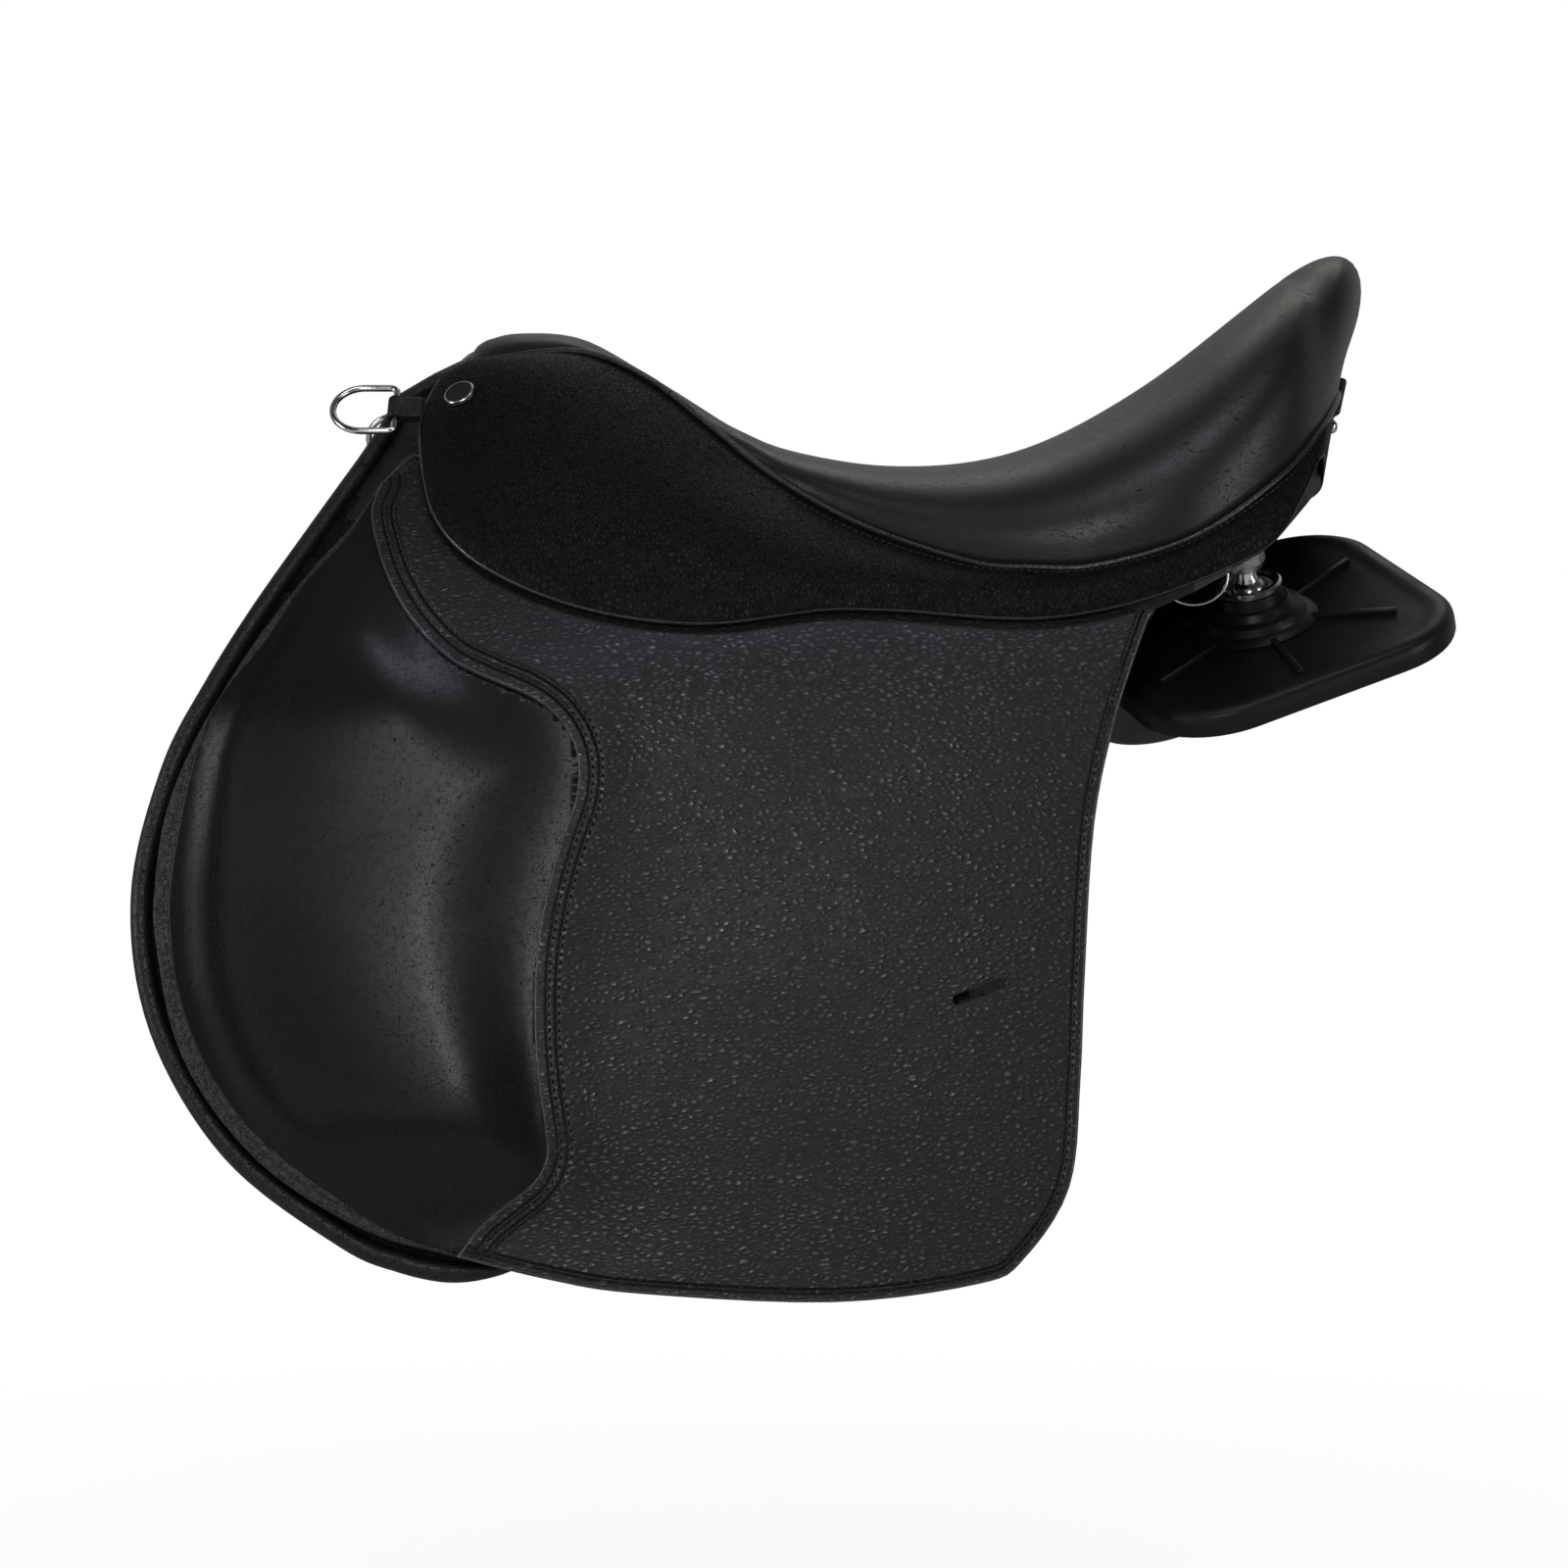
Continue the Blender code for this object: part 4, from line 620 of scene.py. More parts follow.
def seatSection(index):  # from the welt up to the middle line, fuller at the cantle
    look = seatLook
    wx, wy, wz = weltLine[index]
    kx = keelX(wx)
    reach = Vector((wx - kx, wy, 0))
    high = lookUp(middleLine, kx) - wz
    rear = smoothStep(1.05 - abs(wy) / look["cantleHalf"]) if wx > look["cantleX"] else 0.0
    full = smoothStep((high - look["lowSection"]) / look["lowSection"])
    side = [tuple(a + (b - a) * full for a, b in zip(p, q)) for p, q in zip(look["low"], look["side"])]
    section = [tuple(a + (b - a) * rear for a, b in zip(p, q)) for p, q in zip(side, look["rear"])]
    return [Vector((kx, 0, wz)) + reach * (a if a < 1 else 1 + (a - 1) * full) + Vector((0, 0, high * b))
            for a, b in atShares(splineThrough(section, 6), fractions(look["points"]))]


def buildSeat():
    near = [seatSection(i) for i in range(seatLook["stations"])]
    ring = near + [[farSide(p) for p in row] for row in near[-2:0:-1]]
    verts = [p for row in ring for p in row]
    faces = gridFaces(len(ring), seatLook["points"], closedRows=True)
    seat = newObject("seat", verts, faces, finish["seatLeather"], smooth=0)
    softenSeat(seat, 6)  # leather pulled tight over foam: its relief is modelled and not simulated
    cover = seat.modifiers.new("overFoam", "SHRINKWRAP")
    cover.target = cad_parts["seat_foam"]
    cover.wrap_method = "NEAREST_SURFACEPOINT"
    cover.wrap_mode = "OUTSIDE"
    cover.offset = seatLook["overFoam"] * mm
    applyAll(seat)
    softenSeat(seat, 2)
    solid = seat.modifiers.new("hide", "SOLIDIFY")
    solid.thickness = seatLook["wall"] * mm
    solid.offset = -1
    applyAll(seat)
    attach(seat, "saddle")
    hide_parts("seat_cover")


def softenSeat(seat, turns):  # evens out the loft, all but its rim
    bm = bmesh.new()
    bm.from_mesh(seat.data)
    inner = [v for v in bm.verts if not v.is_boundary]
    for turn in range(turns):
        bmesh.ops.smooth_vert(bm, verts=inner, factor=0.5, use_axis_x=True, use_axis_y=True,
                              use_axis_z=True)
    bm.to_mesh(seat.data)
    bm.free()


buildSeat()
print("seat")


# skirts and the piping between seat and skirt

skirtLook = {
    "edge": [(-154.1, 197.2), (-165.4, 188.9), (-172, 172.4), (-172.7, 157.1), (-164.8, 122.6),
             (-144.9, 98.9), (-107.9, 80.8), (-67.2, 71.3), (-26.9, 69.5), (18.3, 75.2), (58.8, 74.7),
             (111.9, 71.8), (159.6, 78.9), (208.4, 96.1), (232.2, 112.6), (254.4, 150)],
    "tail": [(258, -80, 145), (261.5, -40, 143), (262.5, 0, 142.5)],
    "out": 10.5, "thick": 3.4, "drop": 0.6, "bulge": 0.125, "rows": 16, "firstShare": 0.1, "cantleTurn": 55,
    "bendFront": (-172, 160), "bendRear": (27, 73), "bendOut": 30, "bendHalf": 10,
    "stitchDrop": 8.5, "stitchLength": 2.6, "stitchPitch": 3.6, "stitchWidth": 0.75,
}
pipingLook = {"radius": 1.75, "lift": 0.4, "stations": 151}


def skirtColumns():
    look = skirtLook
    first = round(look["firstShare"] * (seatLook["stations"] - 1))
    stations = weltLine[first:]
    side = [tuple(onSide(x, z, look["out"])) for x, z in splineThrough(look["edge"], 2)]
    edge = splineThrough(side + look["tail"], 3)
    lower = atShares(edge, fractions(len(stations)))
    grid = []
    out = Vector((0, -1, 0.7)).normalized()
    for upper, low in zip(stations, lower):
        a, b = Vector(upper) - Vector((0, 0, look["drop"])), Vector(low)
        grid.append([a + (b - a) * part + out * 4 * part * (1 - part) * look["bulge"] * (b - a).length
                     for part in fractions(look["rows"] + 1)])
    return stations, grid


def skirtInward(station, part):
    x, y, z = station
    outward = Vector((x - keelX(x), y, 0)).normalized()
    rear = smoothStep((x - seatLook["cantleX"]) / skirtLook["cantleTurn"])
    rise = (0.9 - 0.7 * part) * (1 - rear) + 0.2 * rear
    return -(outward + Vector((0, 0, rise))).normalized()


def skirtBend():  # two points either side of the line where the lobe would bend if lifted; nothing lifts or bends it here
    look = skirtLook
    front = onSide(*look["bendFront"], look["bendOut"])
    rear = onSide(*look["bendRear"], look["bendOut"])
    axis = (rear - front).normalized()
    across = axis.cross(sideNormal(-80, 120)).normalized()
    if across.z < 0:
        across.negate()
    middle = (front + rear) / 2
    return middle + across * look["bendHalf"], middle - across * look["bendHalf"]


def bendSkirt(item, side):
    start, end = skirtBend()
    if side == "right":
        start, end = farSide(start), farSide(end)
    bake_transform(item)


def buildSkirts():
    look = skirtLook
    stations, grid = skirtColumns()
    columns, runs = [], []
    for station, column in zip(stations, grid):
        inner = [p + skirtInward(station, r / look["rows"]) * look["thick"] for r, p in enumerate(column)]
        lip = (column[-1] - column[-2]).normalized()
        middle = (column[-1] + inner[-1]) / 2
        edge = [column[-1] + (middle - column[-1]) * 0.25 + lip * 0.8, middle + lip * 1.15,
                inner[-1] + (middle - inner[-1]) * 0.25 + lip * 0.8]
        columns.append(column + edge + inner[::-1])
        down = [0.0]
        for a, b in zip(column, column[1:]):
            down.append(down[-1] + (b - a).length)
        runs += down + [down[-1]] * len(edge) + [0.0] * len(inner)
    count = len(columns[0])
    verts = [p for column in columns for p in column]
    faces = []
    for c in range(len(columns) - 1):
        for r in range(count):
            nxt = (r + 1) % count
            a, b = c * count, (c + 1) * count
            faces.append((a + r, a + nxt, b + nxt, b + r))
    faces.append(list(range(count)))
    faces.append([(len(columns) - 1) * count + r for r in range(count - 1, -1, -1)])
    lip = [c * count + r for c in range(len(columns) - 1) for r in range(look["rows"], look["rows"] + 3)]
    skirts = onBoth("skirt", verts, faces, finish["skirtLeather"], 75, {"edgeRun": runs}, lip)
    for side, skirt in skirts.items():
        bendSkirt(skirt, side)
        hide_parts(f"skirt_band_{side}", f"skirt_lobe_{side}")
    buildSkirtStitches(stations, grid)


def buildSkirtStitches(stations, grid):
    look = skirtLook
    points, normals = [], []
    for station, column in list(zip(stations, grid))[1:-1]:
        length, index = 0.0, 0
        while index < look["rows"] - 1 and length < look["stitchDrop"]:
            length += (column[index + 1] - column[index]).length
            index += 1
        back = (length - look["stitchDrop"]) / max((column[index] - column[index - 1]).length, 1e-6)
        points.append(tuple(column[index].lerp(column[index - 1], max(0.0, min(1.0, back)))))
        normals.append(-skirtInward(station, index / look["rows"]))
    verts, faces = stitchRow(points, normals, look["stitchLength"], look["stitchPitch"], look["stitchWidth"])
    for side, row in onBoth("skirt_stitches", verts, faces, finish["thread"]).items():
        bendSkirt(row, side)


def buildPiping():
    look = pipingLook
    near = [Vector(p) for p in atShares(splineThrough(seatLook["welt"], 10), fractions(look["stations"]))]
    lifted = []
    for p in near + [farSide(p) for p in near[-2:0:-1]]:
        lifted.append(p + Vector((p.x - keelX(p.x), p.y, 0)).normalized() * look["lift"])
    verts, faces = tubeAlong(lifted, lambda share: look["radius"], 10, closed=True, up=(0, 0, 1))
    piping = newObject("seat_piping", verts, faces, finish["pipingLeather"], 0)
    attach(piping, "saddle")


buildSkirts()
buildPiping()
print("skirts and piping")


# flaps

flapLook = {
    "front": [(-191.8, 139.2), (-203, 119), (-218, 100), (-240.1, 68.3), (-255.7, 42.4), (-269.1, 17.4),
              (-280.3, -13.1), (-284.4, -44), (-283.7, -71.3), (-270.2, -123.7), (-235.5, -169.2),
              (-187.7, -199.3), (-146.1, -211.3)],
    "rear": [(-146.1, -211.3), (-104.6, -221.2), (-65.3, -227.2), (21.8, -231), (87.1, -222.9),
             (106.8, -212.2), (127.7, -180), (133, -132.4), (135.3, -88.8), (140.5, -18.4), (151.3, 30.4),
             (165.5, 70.2), (170.2, 78.1)],
    "top": [(160, 80), (110, 80), (60, 84), (20, 96), (-15, 106), (-40, 112), (-75, 115), (-150, 117),
            (-163, 135), (-171, 152), (-180, 155)],
    "padEdge": [(-190.6, 138.7), (-193.5, 124), (-188.6, 104.9), (-180.4, 86.4), (-168.1, 68.7),
                (-151.8, 53.6), (-133.8, 44.9), (-115.8, 37.6), (-102.3, 27.5), (-94.1, 12.2), (-94, -5.5),
                (-99.6, -23.1), (-106, -45.2), (-110.2, -67.1), (-112.2, -89), (-112, -110.8),
                (-110.5, -132.5), (-107.2, -154.2), (-106.2, -167.1), (-111.4, -177.9), (-122.2, -186.5),
                (-135.2, -197.2), (-146.1, -211.3)],
    "band": [(-191.5, 137.7), (-204, 113.4), (-222.7, 90.1), (-237.3, 64.8), (-263.3, 26.7),
             (-276.7, -37.2), (-276.8, -71.5), (-271.8, -97.7), (-261.1, -123.8), (-245.2, -147.7),
             (-225.2, -167.1), (-200.8, -184.3), (-174.4, -200.6), (-145.9, -210.1)],
    "lining": 2.2, "panel": 2.6, "gap": 0.1, "step": 4.0,
    "ridge": 2.4, "ridgeReach": 20, "drape": 3.0, "drapeReach": 60,
    "ridgeTop": 150, "ridgeFade": 40, "drapeTop": 95, "drapeFade": 60, "reliefFoot": -205, "footFade": 60,
    "padRise": 10.5, "padLeast": 0.8, "padWide": 110, "padFront": 0.14, "padCrest": 0.66, "padFall": 0.55,
    "padFoot": -206, "padFootFade": 55, "padTop": 135, "padTopFade": 75,
    "seamRows": (6.2, 10.6), "rearRow": 4.8, "bandRow": 4.2,
    "blendHigh": 74, "blendLow": 54, "axisY": -160,
    "slotAt": (87.7, -93.6), "slotRise": 22.8, "slotLong": 25.4, "slotWide": 4.8,
}


def bendFlap(item):
    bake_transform(item)


def outlineOf(*lines):  # a closed outline from open lines, with even spacing
    points = []
    for line in lines:
        fine = evenly(line, flapLook["step"])
        points += fine if not points else fine[1:]
    if math.dist(points[0], points[-1]) < 1.0:
        points = points[:-1]
    return points


frontLine = splineThrough(flapLook["front"], 5)
rearLine = splineThrough(flapLook["rear"], 5)
topLine = splineThrough(flapLook["top"], 5)
padLine = splineThrough(flapLook["padEdge"], 4)
bandLine = splineThrough(flapLook["band"], 5)


def panelRelief(x, z):  # how far the panel lifts where it drapes over the knee pad's rear edge
    look = flapLook
    near = distanceTo(padLine[4:-4], x, z)
    foot = smoothStep((z - look["reliefFoot"]) / look["footFade"])
    ridge = look["ridge"] * math.exp(-(near / look["ridgeReach"]) ** 2)
    drape = look["drape"] * math.exp(-(near / look["drapeReach"]) ** 2)
    return (ridge * smoothStep((look["ridgeTop"] - z) / look["ridgeFade"])
            + drape * smoothStep((look["drapeTop"] - z) / look["drapeFade"])) * foot


def padSurface(x, z):  # thickness of the knee pad over the lining
    look = flapLook
    toBand = distanceTo(bandLine, x, z)
    toEdge = distanceTo(padLine, x, z)
    share = toBand / max(toBand + toEdge, 1e-6)
    wide = smoothStep((toBand + toEdge) / look["padWide"])
    front = 0.6 * smoothStep(share / look["padFront"]) + 0.4 * smoothStep(share / look["padCrest"])
    crest = 1 - look["padFall"] * smoothStep((share - look["padCrest"]) / (1 - look["padCrest"]))
    ends = (smoothStep((z - look["padFoot"]) / look["padFootFade"])
            * smoothStep((look["padTop"] - z) / look["padTopFade"]))
    return look["padLeast"] + look["padRise"] * front * crest * wide * (0.35 + 0.65 * ends)


def slotCutter(side):  # a round-ended bar through the flap, for its slot
    look = flapLook
    x, z = look["slotAt"]
    centre, normal = onSide(x, z, 3), sideNormal(x, z)
    along = Vector((math.cos(math.radians(look["slotRise"])), 0, math.sin(math.radians(look["slotRise"]))))
    along = (along - normal * along.dot(normal)).normalized()
    turn = Matrix((along, normal.cross(along), normal)).transposed().to_4x4()
    bpy.ops.object.select_all(action="DESELECT")
    bpy.ops.mesh.primitive_cylinder_add(vertices=32, radius=look["slotWide"] / 2 * mm, depth=30 * mm)
    cutter = bpy.context.object
    bpy.ops.object.mode_set(mode="EDIT")
    bm = bmesh.from_edit_mesh(cutter.data)
    half = (look["slotLong"] - look["slotWide"]) / 2 * mm
    for v in bm.verts:
        v.co.x += half if v.co.x > 1e-6 else -half
    bmesh.update_edit_mesh(cutter.data)
    bpy.ops.object.mode_set(mode="OBJECT")
    place = Matrix.Translation(centre * mm) @ turn
    if side == "right":
        place = Matrix.Scale(-1, 4, (0, 1, 0)) @ place
    cutter.data.transform(place)
    if side == "right":
        cutter.data.flip_normals()
    return cutter


def cutAway(item, cutter):
    modifier = item.modifiers.new("cut", "BOOLEAN")
    modifier.object = cutter
    modifier.operation = "DIFFERENCE"
    modifier.solver = "EXACT"
    applyAll(item)
    bpy.data.objects.remove(cutter)


def buildFlaps():
    look = flapLook
    whole = outlineOf(frontLine, rearLine, topLine)
    verts, faces, fields = evenSheet(whole, 0.0, look["lining"], 8.0, 0.9, {"edgeRun": frontLine})
    for side, flap in onBoth("flap_lining", verts, faces, finish["bandLeather"], 50, fields).items():
        cutAway(flap, slotCutter(side))
        bendFlap(flap)
        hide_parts(f"flap_lining_{side}")
    low = look["lining"] + look["gap"]
    edge = outlineOf(padLine, rearLine, topLine[:-2])
    verts, faces, fields = leatherSheet(edge, low, lambda x, z: low + look["panel"] + panelRelief(x, z),
                                        4.0, 1.2, {"frontRun": padLine, "edgeRun": rearLine})
    cut = range(4 * len(edge))  # the faces of the sheet's rounded edge come first
    for side, flap in onBoth("flap_panel", verts, faces, finish["panelLeather"], 50, fields, cut).items():
        cutAway(flap, slotCutter(side))
        bendFlap(flap)
        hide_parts(f"flap_panel_{side}", f"flap_top_{side}")
    tucked = [(x + 3.5, z - 1.5) for x, z in padLine[:-2]] + [padLine[-1]]
    padOutline = outlineOf(bandLine, tucked[::-1])
    verts, faces, _ = leatherSheet(padOutline, low, lambda x, z: low + padSurface(x, z), 4.0, 0.8)
    for side, item in onBoth("knee_pad_leather", verts, faces, finish["padLeather"], 0).items():
        bendFlap(item)
        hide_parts(f"knee_pad_{side}")


def inwardLine(line, inset):  # beside an open (x, z) line, at a distance to its left
    result = []
    for index, (x, z) in enumerate(line):
        bx, bz = line[max(index - 1, 0)]
        ax, az = line[min(index + 1, len(line) - 1)]
        along = Vector((ax - bx, az - bz)).normalized()
        result.append((x - along.y * inset, z + along.x * inset))
    return result


stitchLook = {"length": 2.7, "pitch": 3.8, "width": 0.8}


def stitchOnSide(name, line, outAt):
    line = evenly(line, 2.0)
    points = [tuple(onSide(x, z, outAt(x, z))) for x, z in line]
    normals = [sideNormal(x, z) for x, z in line]
    verts, faces = stitchRow(points, normals, **stitchLook)
    for side, row in onBoth(name, verts, faces, finish["thread"]).items():
        bendFlap(row)


def buildFlapStitches():
    look = flapLook

    def onPanel(x, z):
        return look["lining"] + look["gap"] + look["panel"] + panelRelief(x, z)

    for letter, inset in zip("ab", look["seamRows"]):
        stitchOnSide(f"pad_seam_stitches_{letter}", inwardLine(padLine[3:-3], inset), onPanel)
    stitchOnSide("panel_stitches", inwardLine(rearLine, look["rearRow"])[2:], onPanel)
    stitchOnSide("band_stitches", inwardLine(frontLine, look["bandRow"])[2:-3], lambda x, z: look["lining"])


buildFlaps()
buildFlapStitches()
print("flaps")


# front roll, under flaps and girth straps

underLook = {
    "rollPath": [(-186, 195), (-190.5, 183), (-199, 166.2), (-208.5, 149.5), (-222.8, 124.5), (-242.6, 88.9),
                 (-262.2, 49.3), (-281, 7.6), (-293, -50), (-283, -109.3),
                 (-249, -164), (-198, -202), (-172, -213), (-149, -217.5), (-128, -216), (-112, -210)],
    "rear": [(-96, -213), (-40, -220), (30, -214), (56, -196), (66, -160), (68, -60), (70, 40), (70, 58),
             (20, 60), (-60, 60), (-140, 66), (-165, 90), (-180, 120), (-191, 141)],
    "low": -16.4, "thick": 3.7, "rollRadius": 5.2, "rollTaper": 0.6, "taperFrom": 0.93, "rollTuck": 1.5,
    "arch": [(-147.6, -0.2, 210.5), (-149, -5, 209.5), (-156.6, -16, 205.5), (-170, -30, 197)],
    "facingBack": [(-176, 118, -9), (-168, 142, -9), (-166, 160, -8), (-163, 180, -8), (-160, 195, -9)],
    "facingTop": [(-152, -25, 203), (-149, -0.2, 207)], "facingThick": 3.0, "facingFoot": 128,
    "facingRows": 7,
    "strapWide": 27, "strapThick": 4.0, "strapTop": 70, "strapEnd": -196, "strapAt": (4, 71),
    "strapGap": 0.3, "strapPoint": 12, "holeRadius": 3.0, "holePitch": 25, "holes": 5, "firstHole": 24,
}


def rollCentre():
    look = underLook
    out = look["low"] + look["thick"] / 2
    side = [tuple(onSide(x, z, out)) for x, z in splineThrough(look["rollPath"], 8)]
    return evenly(splineThrough(look["arch"], 8) + side, 4.0)


def rollSize(share):
    look = underLook
    taper = smoothStep((share - look["taperFrom"]) / (1 - look["taperFrom"]))
    return look["rollRadius"] * (1 - look["rollTaper"] * taper)


def buildRolls():
    verts, faces = tubeAlong(rollCentre(), rollSize, 20)
    for side, roll in onBoth("front_roll_leather", verts, faces, finish["rollLeather"], 50).items():
        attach(roll, "saddle")
        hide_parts(f"front_roll_{side}")


def buildFacing():  # leather between the roll over the pommel and the skirts
    look = underLook
    edge = [p for p in rollCentre() if p[2] > look["facingFoot"]]
    back = [tuple(onSide(x, z, out)) for x, z, out in look["facingBack"]][::-1]
    count = len(edge)
    back = atShares(splineThrough(look["facingTop"][::-1] + back, 6), fractions(count))
    outer, inner = [], []
    for a, b in zip(edge, back):
        a, b = Vector(a), Vector(b)
        inward = Vector((0, -a.y, -60)).normalized() * look["facingThick"]
        lift = Vector((0, -0.6, 0.8)) * 1.5
        row = [a.lerp(b, part) + lift * math.sin(math.pi * part) for part in fractions(look["facingRows"])]
        outer.append(row)
        inner.append([p + inward for p in row])
    for grid in (outer, inner):
        grid[:] = [[farSide(p) for p in row] for row in grid[::-1]] + grid
    verts, faces = closedSheet(outer, inner)
    facing = newObject("pommel_front", verts, faces, finish["rollLeather"], 50)
    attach(facing, "saddle")
    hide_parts("pommel_facing")


def closedSheet(outer, inner):  # between two grids of the same size
    rows, columns = len(outer), len(outer[0])
    verts = [p for row in outer for p in row] + [p for row in inner for p in row]
    shift = rows * columns
    faces = gridFaces(rows, columns)
    faces += [tuple(i + shift for i in face[::-1]) for face in gridFaces(rows, columns)]
    rim = [(r, 0) for r in range(rows)] + [(rows - 1, c) for c in range(1, columns)]
    rim += [(r, columns - 1) for r in range(rows - 2, -1, -1)] + [(0, c) for c in range(columns - 2, 0, -1)]
    for (r0, c0), (r1, c1) in zip(rim, rim[1:] + rim[:1]):
        a, b = r0 * columns + c0, r1 * columns + c1
        faces.append((b, a, a + shift, b + shift))
    return verts, faces


def buildUnderFlaps():
    look = underLook
    path = splineThrough(look["rollPath"], 5)
    inner = inwardLine(path, look["rollRadius"] - look["rollTuck"])
    outline = outlineOf(inner[15:] + look["rear"])
    verts, faces, fields = evenSheet(outline, look["low"], look["thick"], 9.0, 1.2, {"edgeRun": outline})
    for side, flap in onBoth("under_flap", verts, faces, finish["skirtLeather"], 50, fields).items():
        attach(flap, "saddle")
        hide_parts(f"sweat_flap_{side}")


def strapOutline(x):
    look = underLook
    half, end, top = look["strapWide"] / 2, look["strapEnd"], look["strapTop"]
    shoulder = end + look["strapPoint"]
    return outlineOf([(x - half, top), (x - half, shoulder), (x - half * 0.55, end), (x + half * 0.55, end),
                      (x + half, shoulder), (x + half, top), (x - half, top)])


def punchHoles(strap, x, side):
    look = underLook
    for hole in range(look["holes"]):
        z = look["strapEnd"] + look["firstHole"] + hole * look["holePitch"]
        centre, normal = onSide(x, z, look["low"] + look["thick"]), sideNormal(x, z)
        if side == "right":
            centre, normal = farSide(centre), farSide(normal)
        bpy.ops.object.select_all(action="DESELECT")
        bpy.ops.mesh.primitive_cylinder_add(vertices=16, radius=look["holeRadius"] * mm, depth=0.02,
                                            location=centre * mm,
                                            rotation=normal.to_track_quat("Z", "Y").to_euler())
        cutAway(strap, bpy.context.object)


def buildStraps():
    look = underLook
    low = look["low"] + look["thick"] + look["strapGap"]
    for place, x in zip(("front", "rear"), look["strapAt"]):
        verts, faces, _ = evenSheet(strapOutline(x), low, look["strapThick"], 6.0, 0.8)
        for side, strap in onBoth(f"girth_strap_{place}", verts, faces, finish["strapLeather"], 50).items():
            punchHoles(strap, x, side)
            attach(strap, "saddle")
            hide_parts(f"billet_{place}_{side}")


buildRolls()
buildFacing()
buildUnderFlaps()
buildStraps()
print("under flaps and straps")


# hand-modelled metal and rubber pieces

unitLook = {
    "front": ((-95, -88, 88), (0, -0.82, 0.572), (1, 0, 0)),
    "rear": ((221.2, -94, 90.2), (-0.222, -0.438, 0.871), (0.921, 0.201, 0.336)),
}
plateLook = {"size": 160, "corner": 42, "base": -24.4, "wall": 5.4,
             "rim": [(0.5, 2.4), (1.1, 1.6), (2.0, 1.1), (2.4, 0.4), (2.6, -0.2), (3.0, -0.6), (3.4, -0.5)],
             "foot": [(0.6, 1.3), (1.6, 0.9), (3.2, 0.4)],
             "boss": [(30, -14.2), (29, -13.2), (26.4, -11.6), (25.2, -11.2), (23.8, -7.9), (23, -7.4),
                      (20.2, -7.2), (19.2, -6.4), (18.2, -3.4), (17.4, -2.8), (16.2, -2.6), (15.4, 2.4),
                      (14.8, 3.0), (12.6, 3.0), (12.5, 0), (12.1, -3.2), (10.9, -6.2), (9, -8.7),
                      (6.3, -10.9), (3.2, -12.1), (0, -12.5)],
             "ribs": 6, "ribFrom": 25, "ribTo": 68, "ribWide": 3.2, "ribHigh": 1.8, "ribTurn": 22.5,
             "ribLevel": -14.1}
studLook = {"ball": 9, "neck": 4.5, "neckFoot": 8.2, "flangeLow": 14, "flangeHigh": 17, "flange": 8.5,
            "shank": 4, "length": 26}
linerLook = {"inner": 9.65, "outer": 11.85, "degrees": [20, 10, 0, -12, -24, -36, -48, -60, -72, -82]}
lockLook = [(12.7, 3.4), (15.6, 3.4), (15.8, 3.7), (15.8, 5.1), (14.7, 6.3), (12.9, 6.3), (12.7, 6.1)]


def frameAt(axis, hint):  # the turn that brings Z to an axis and X towards a hint
    z = Vector(axis).normalized()
    x = (Vector(hint) - z * Vector(hint).dot(z)).normalized()
    return Matrix((x, z.cross(x), z)).transposed()


def startPiece(make, **values):  # a fresh primitive in edit mode, selected all over
    if bpy.context.object and bpy.context.object.mode != "OBJECT":
        bpy.ops.object.mode_set(mode="OBJECT")
    bpy.ops.object.select_all(action="DESELECT")
    make(**values)
    bpy.ops.object.mode_set(mode="EDIT")
    bpy.ops.mesh.select_all(action="SELECT")
    return bpy.context.object


def endPiece(item, material, smooth=40):
    bpy.ops.mesh.select_all(action="SELECT")
    bpy.ops.mesh.normals_make_consistent(inside=False)
    bpy.ops.object.mode_set(mode="OBJECT")
    item.data.materials.clear()
    item.data.materials.append(material)
    bpy.ops.object.select_all(action="DESELECT")
    item.select_set(True)
    bpy.ops.object.shade_smooth_by_angle(angle=math.radians(smooth))
    return item


# spun about Z from (radius, height) points in mm, from axis to axis or else as a closed section
def turnedPiece(profile, material, steps, smooth):
    first, last = profile[0], profile[-1]
    item = startPiece(bpy.ops.mesh.primitive_plane_add, size=1)
    bpy.ops.mesh.delete(type="VERT")
    bm = bmesh.from_edit_mesh(item.data)
    points = [bm.verts.new((r * mm, 0, z * mm)) for r, z in profile]
    for a, b in zip(points, points[1:]):
        bm.edges.new((a, b))
    if first[0] > 0 and last[0] > 0:
        bm.edges.new((points[-1], points[0]))
    bmesh.update_edit_mesh(item.data)
    bpy.ops.mesh.select_all(action="SELECT")
    bpy.ops.mesh.spin(steps=steps, angle=2 * math.pi, center=(0, 0, 0), axis=(0, 0, 1))
    bpy.ops.mesh.select_all(action="SELECT")
    bpy.ops.mesh.remove_doubles(threshold=0.01 * mm)
    return endPiece(item, material, smooth)


def selectUnderside(item):  # the lowest face, and the widest where several lie at its height
    bpy.ops.mesh.select_all(action="DESELECT")
    bm = bmesh.from_edit_mesh(item.data)
    face = min(bm.faces, key=lambda f: (round(f.calc_center_median().z, 6), -f.calc_area()))
    face.select = True
    bm.faces.active = face
    bmesh.update_edit_mesh(item.data)


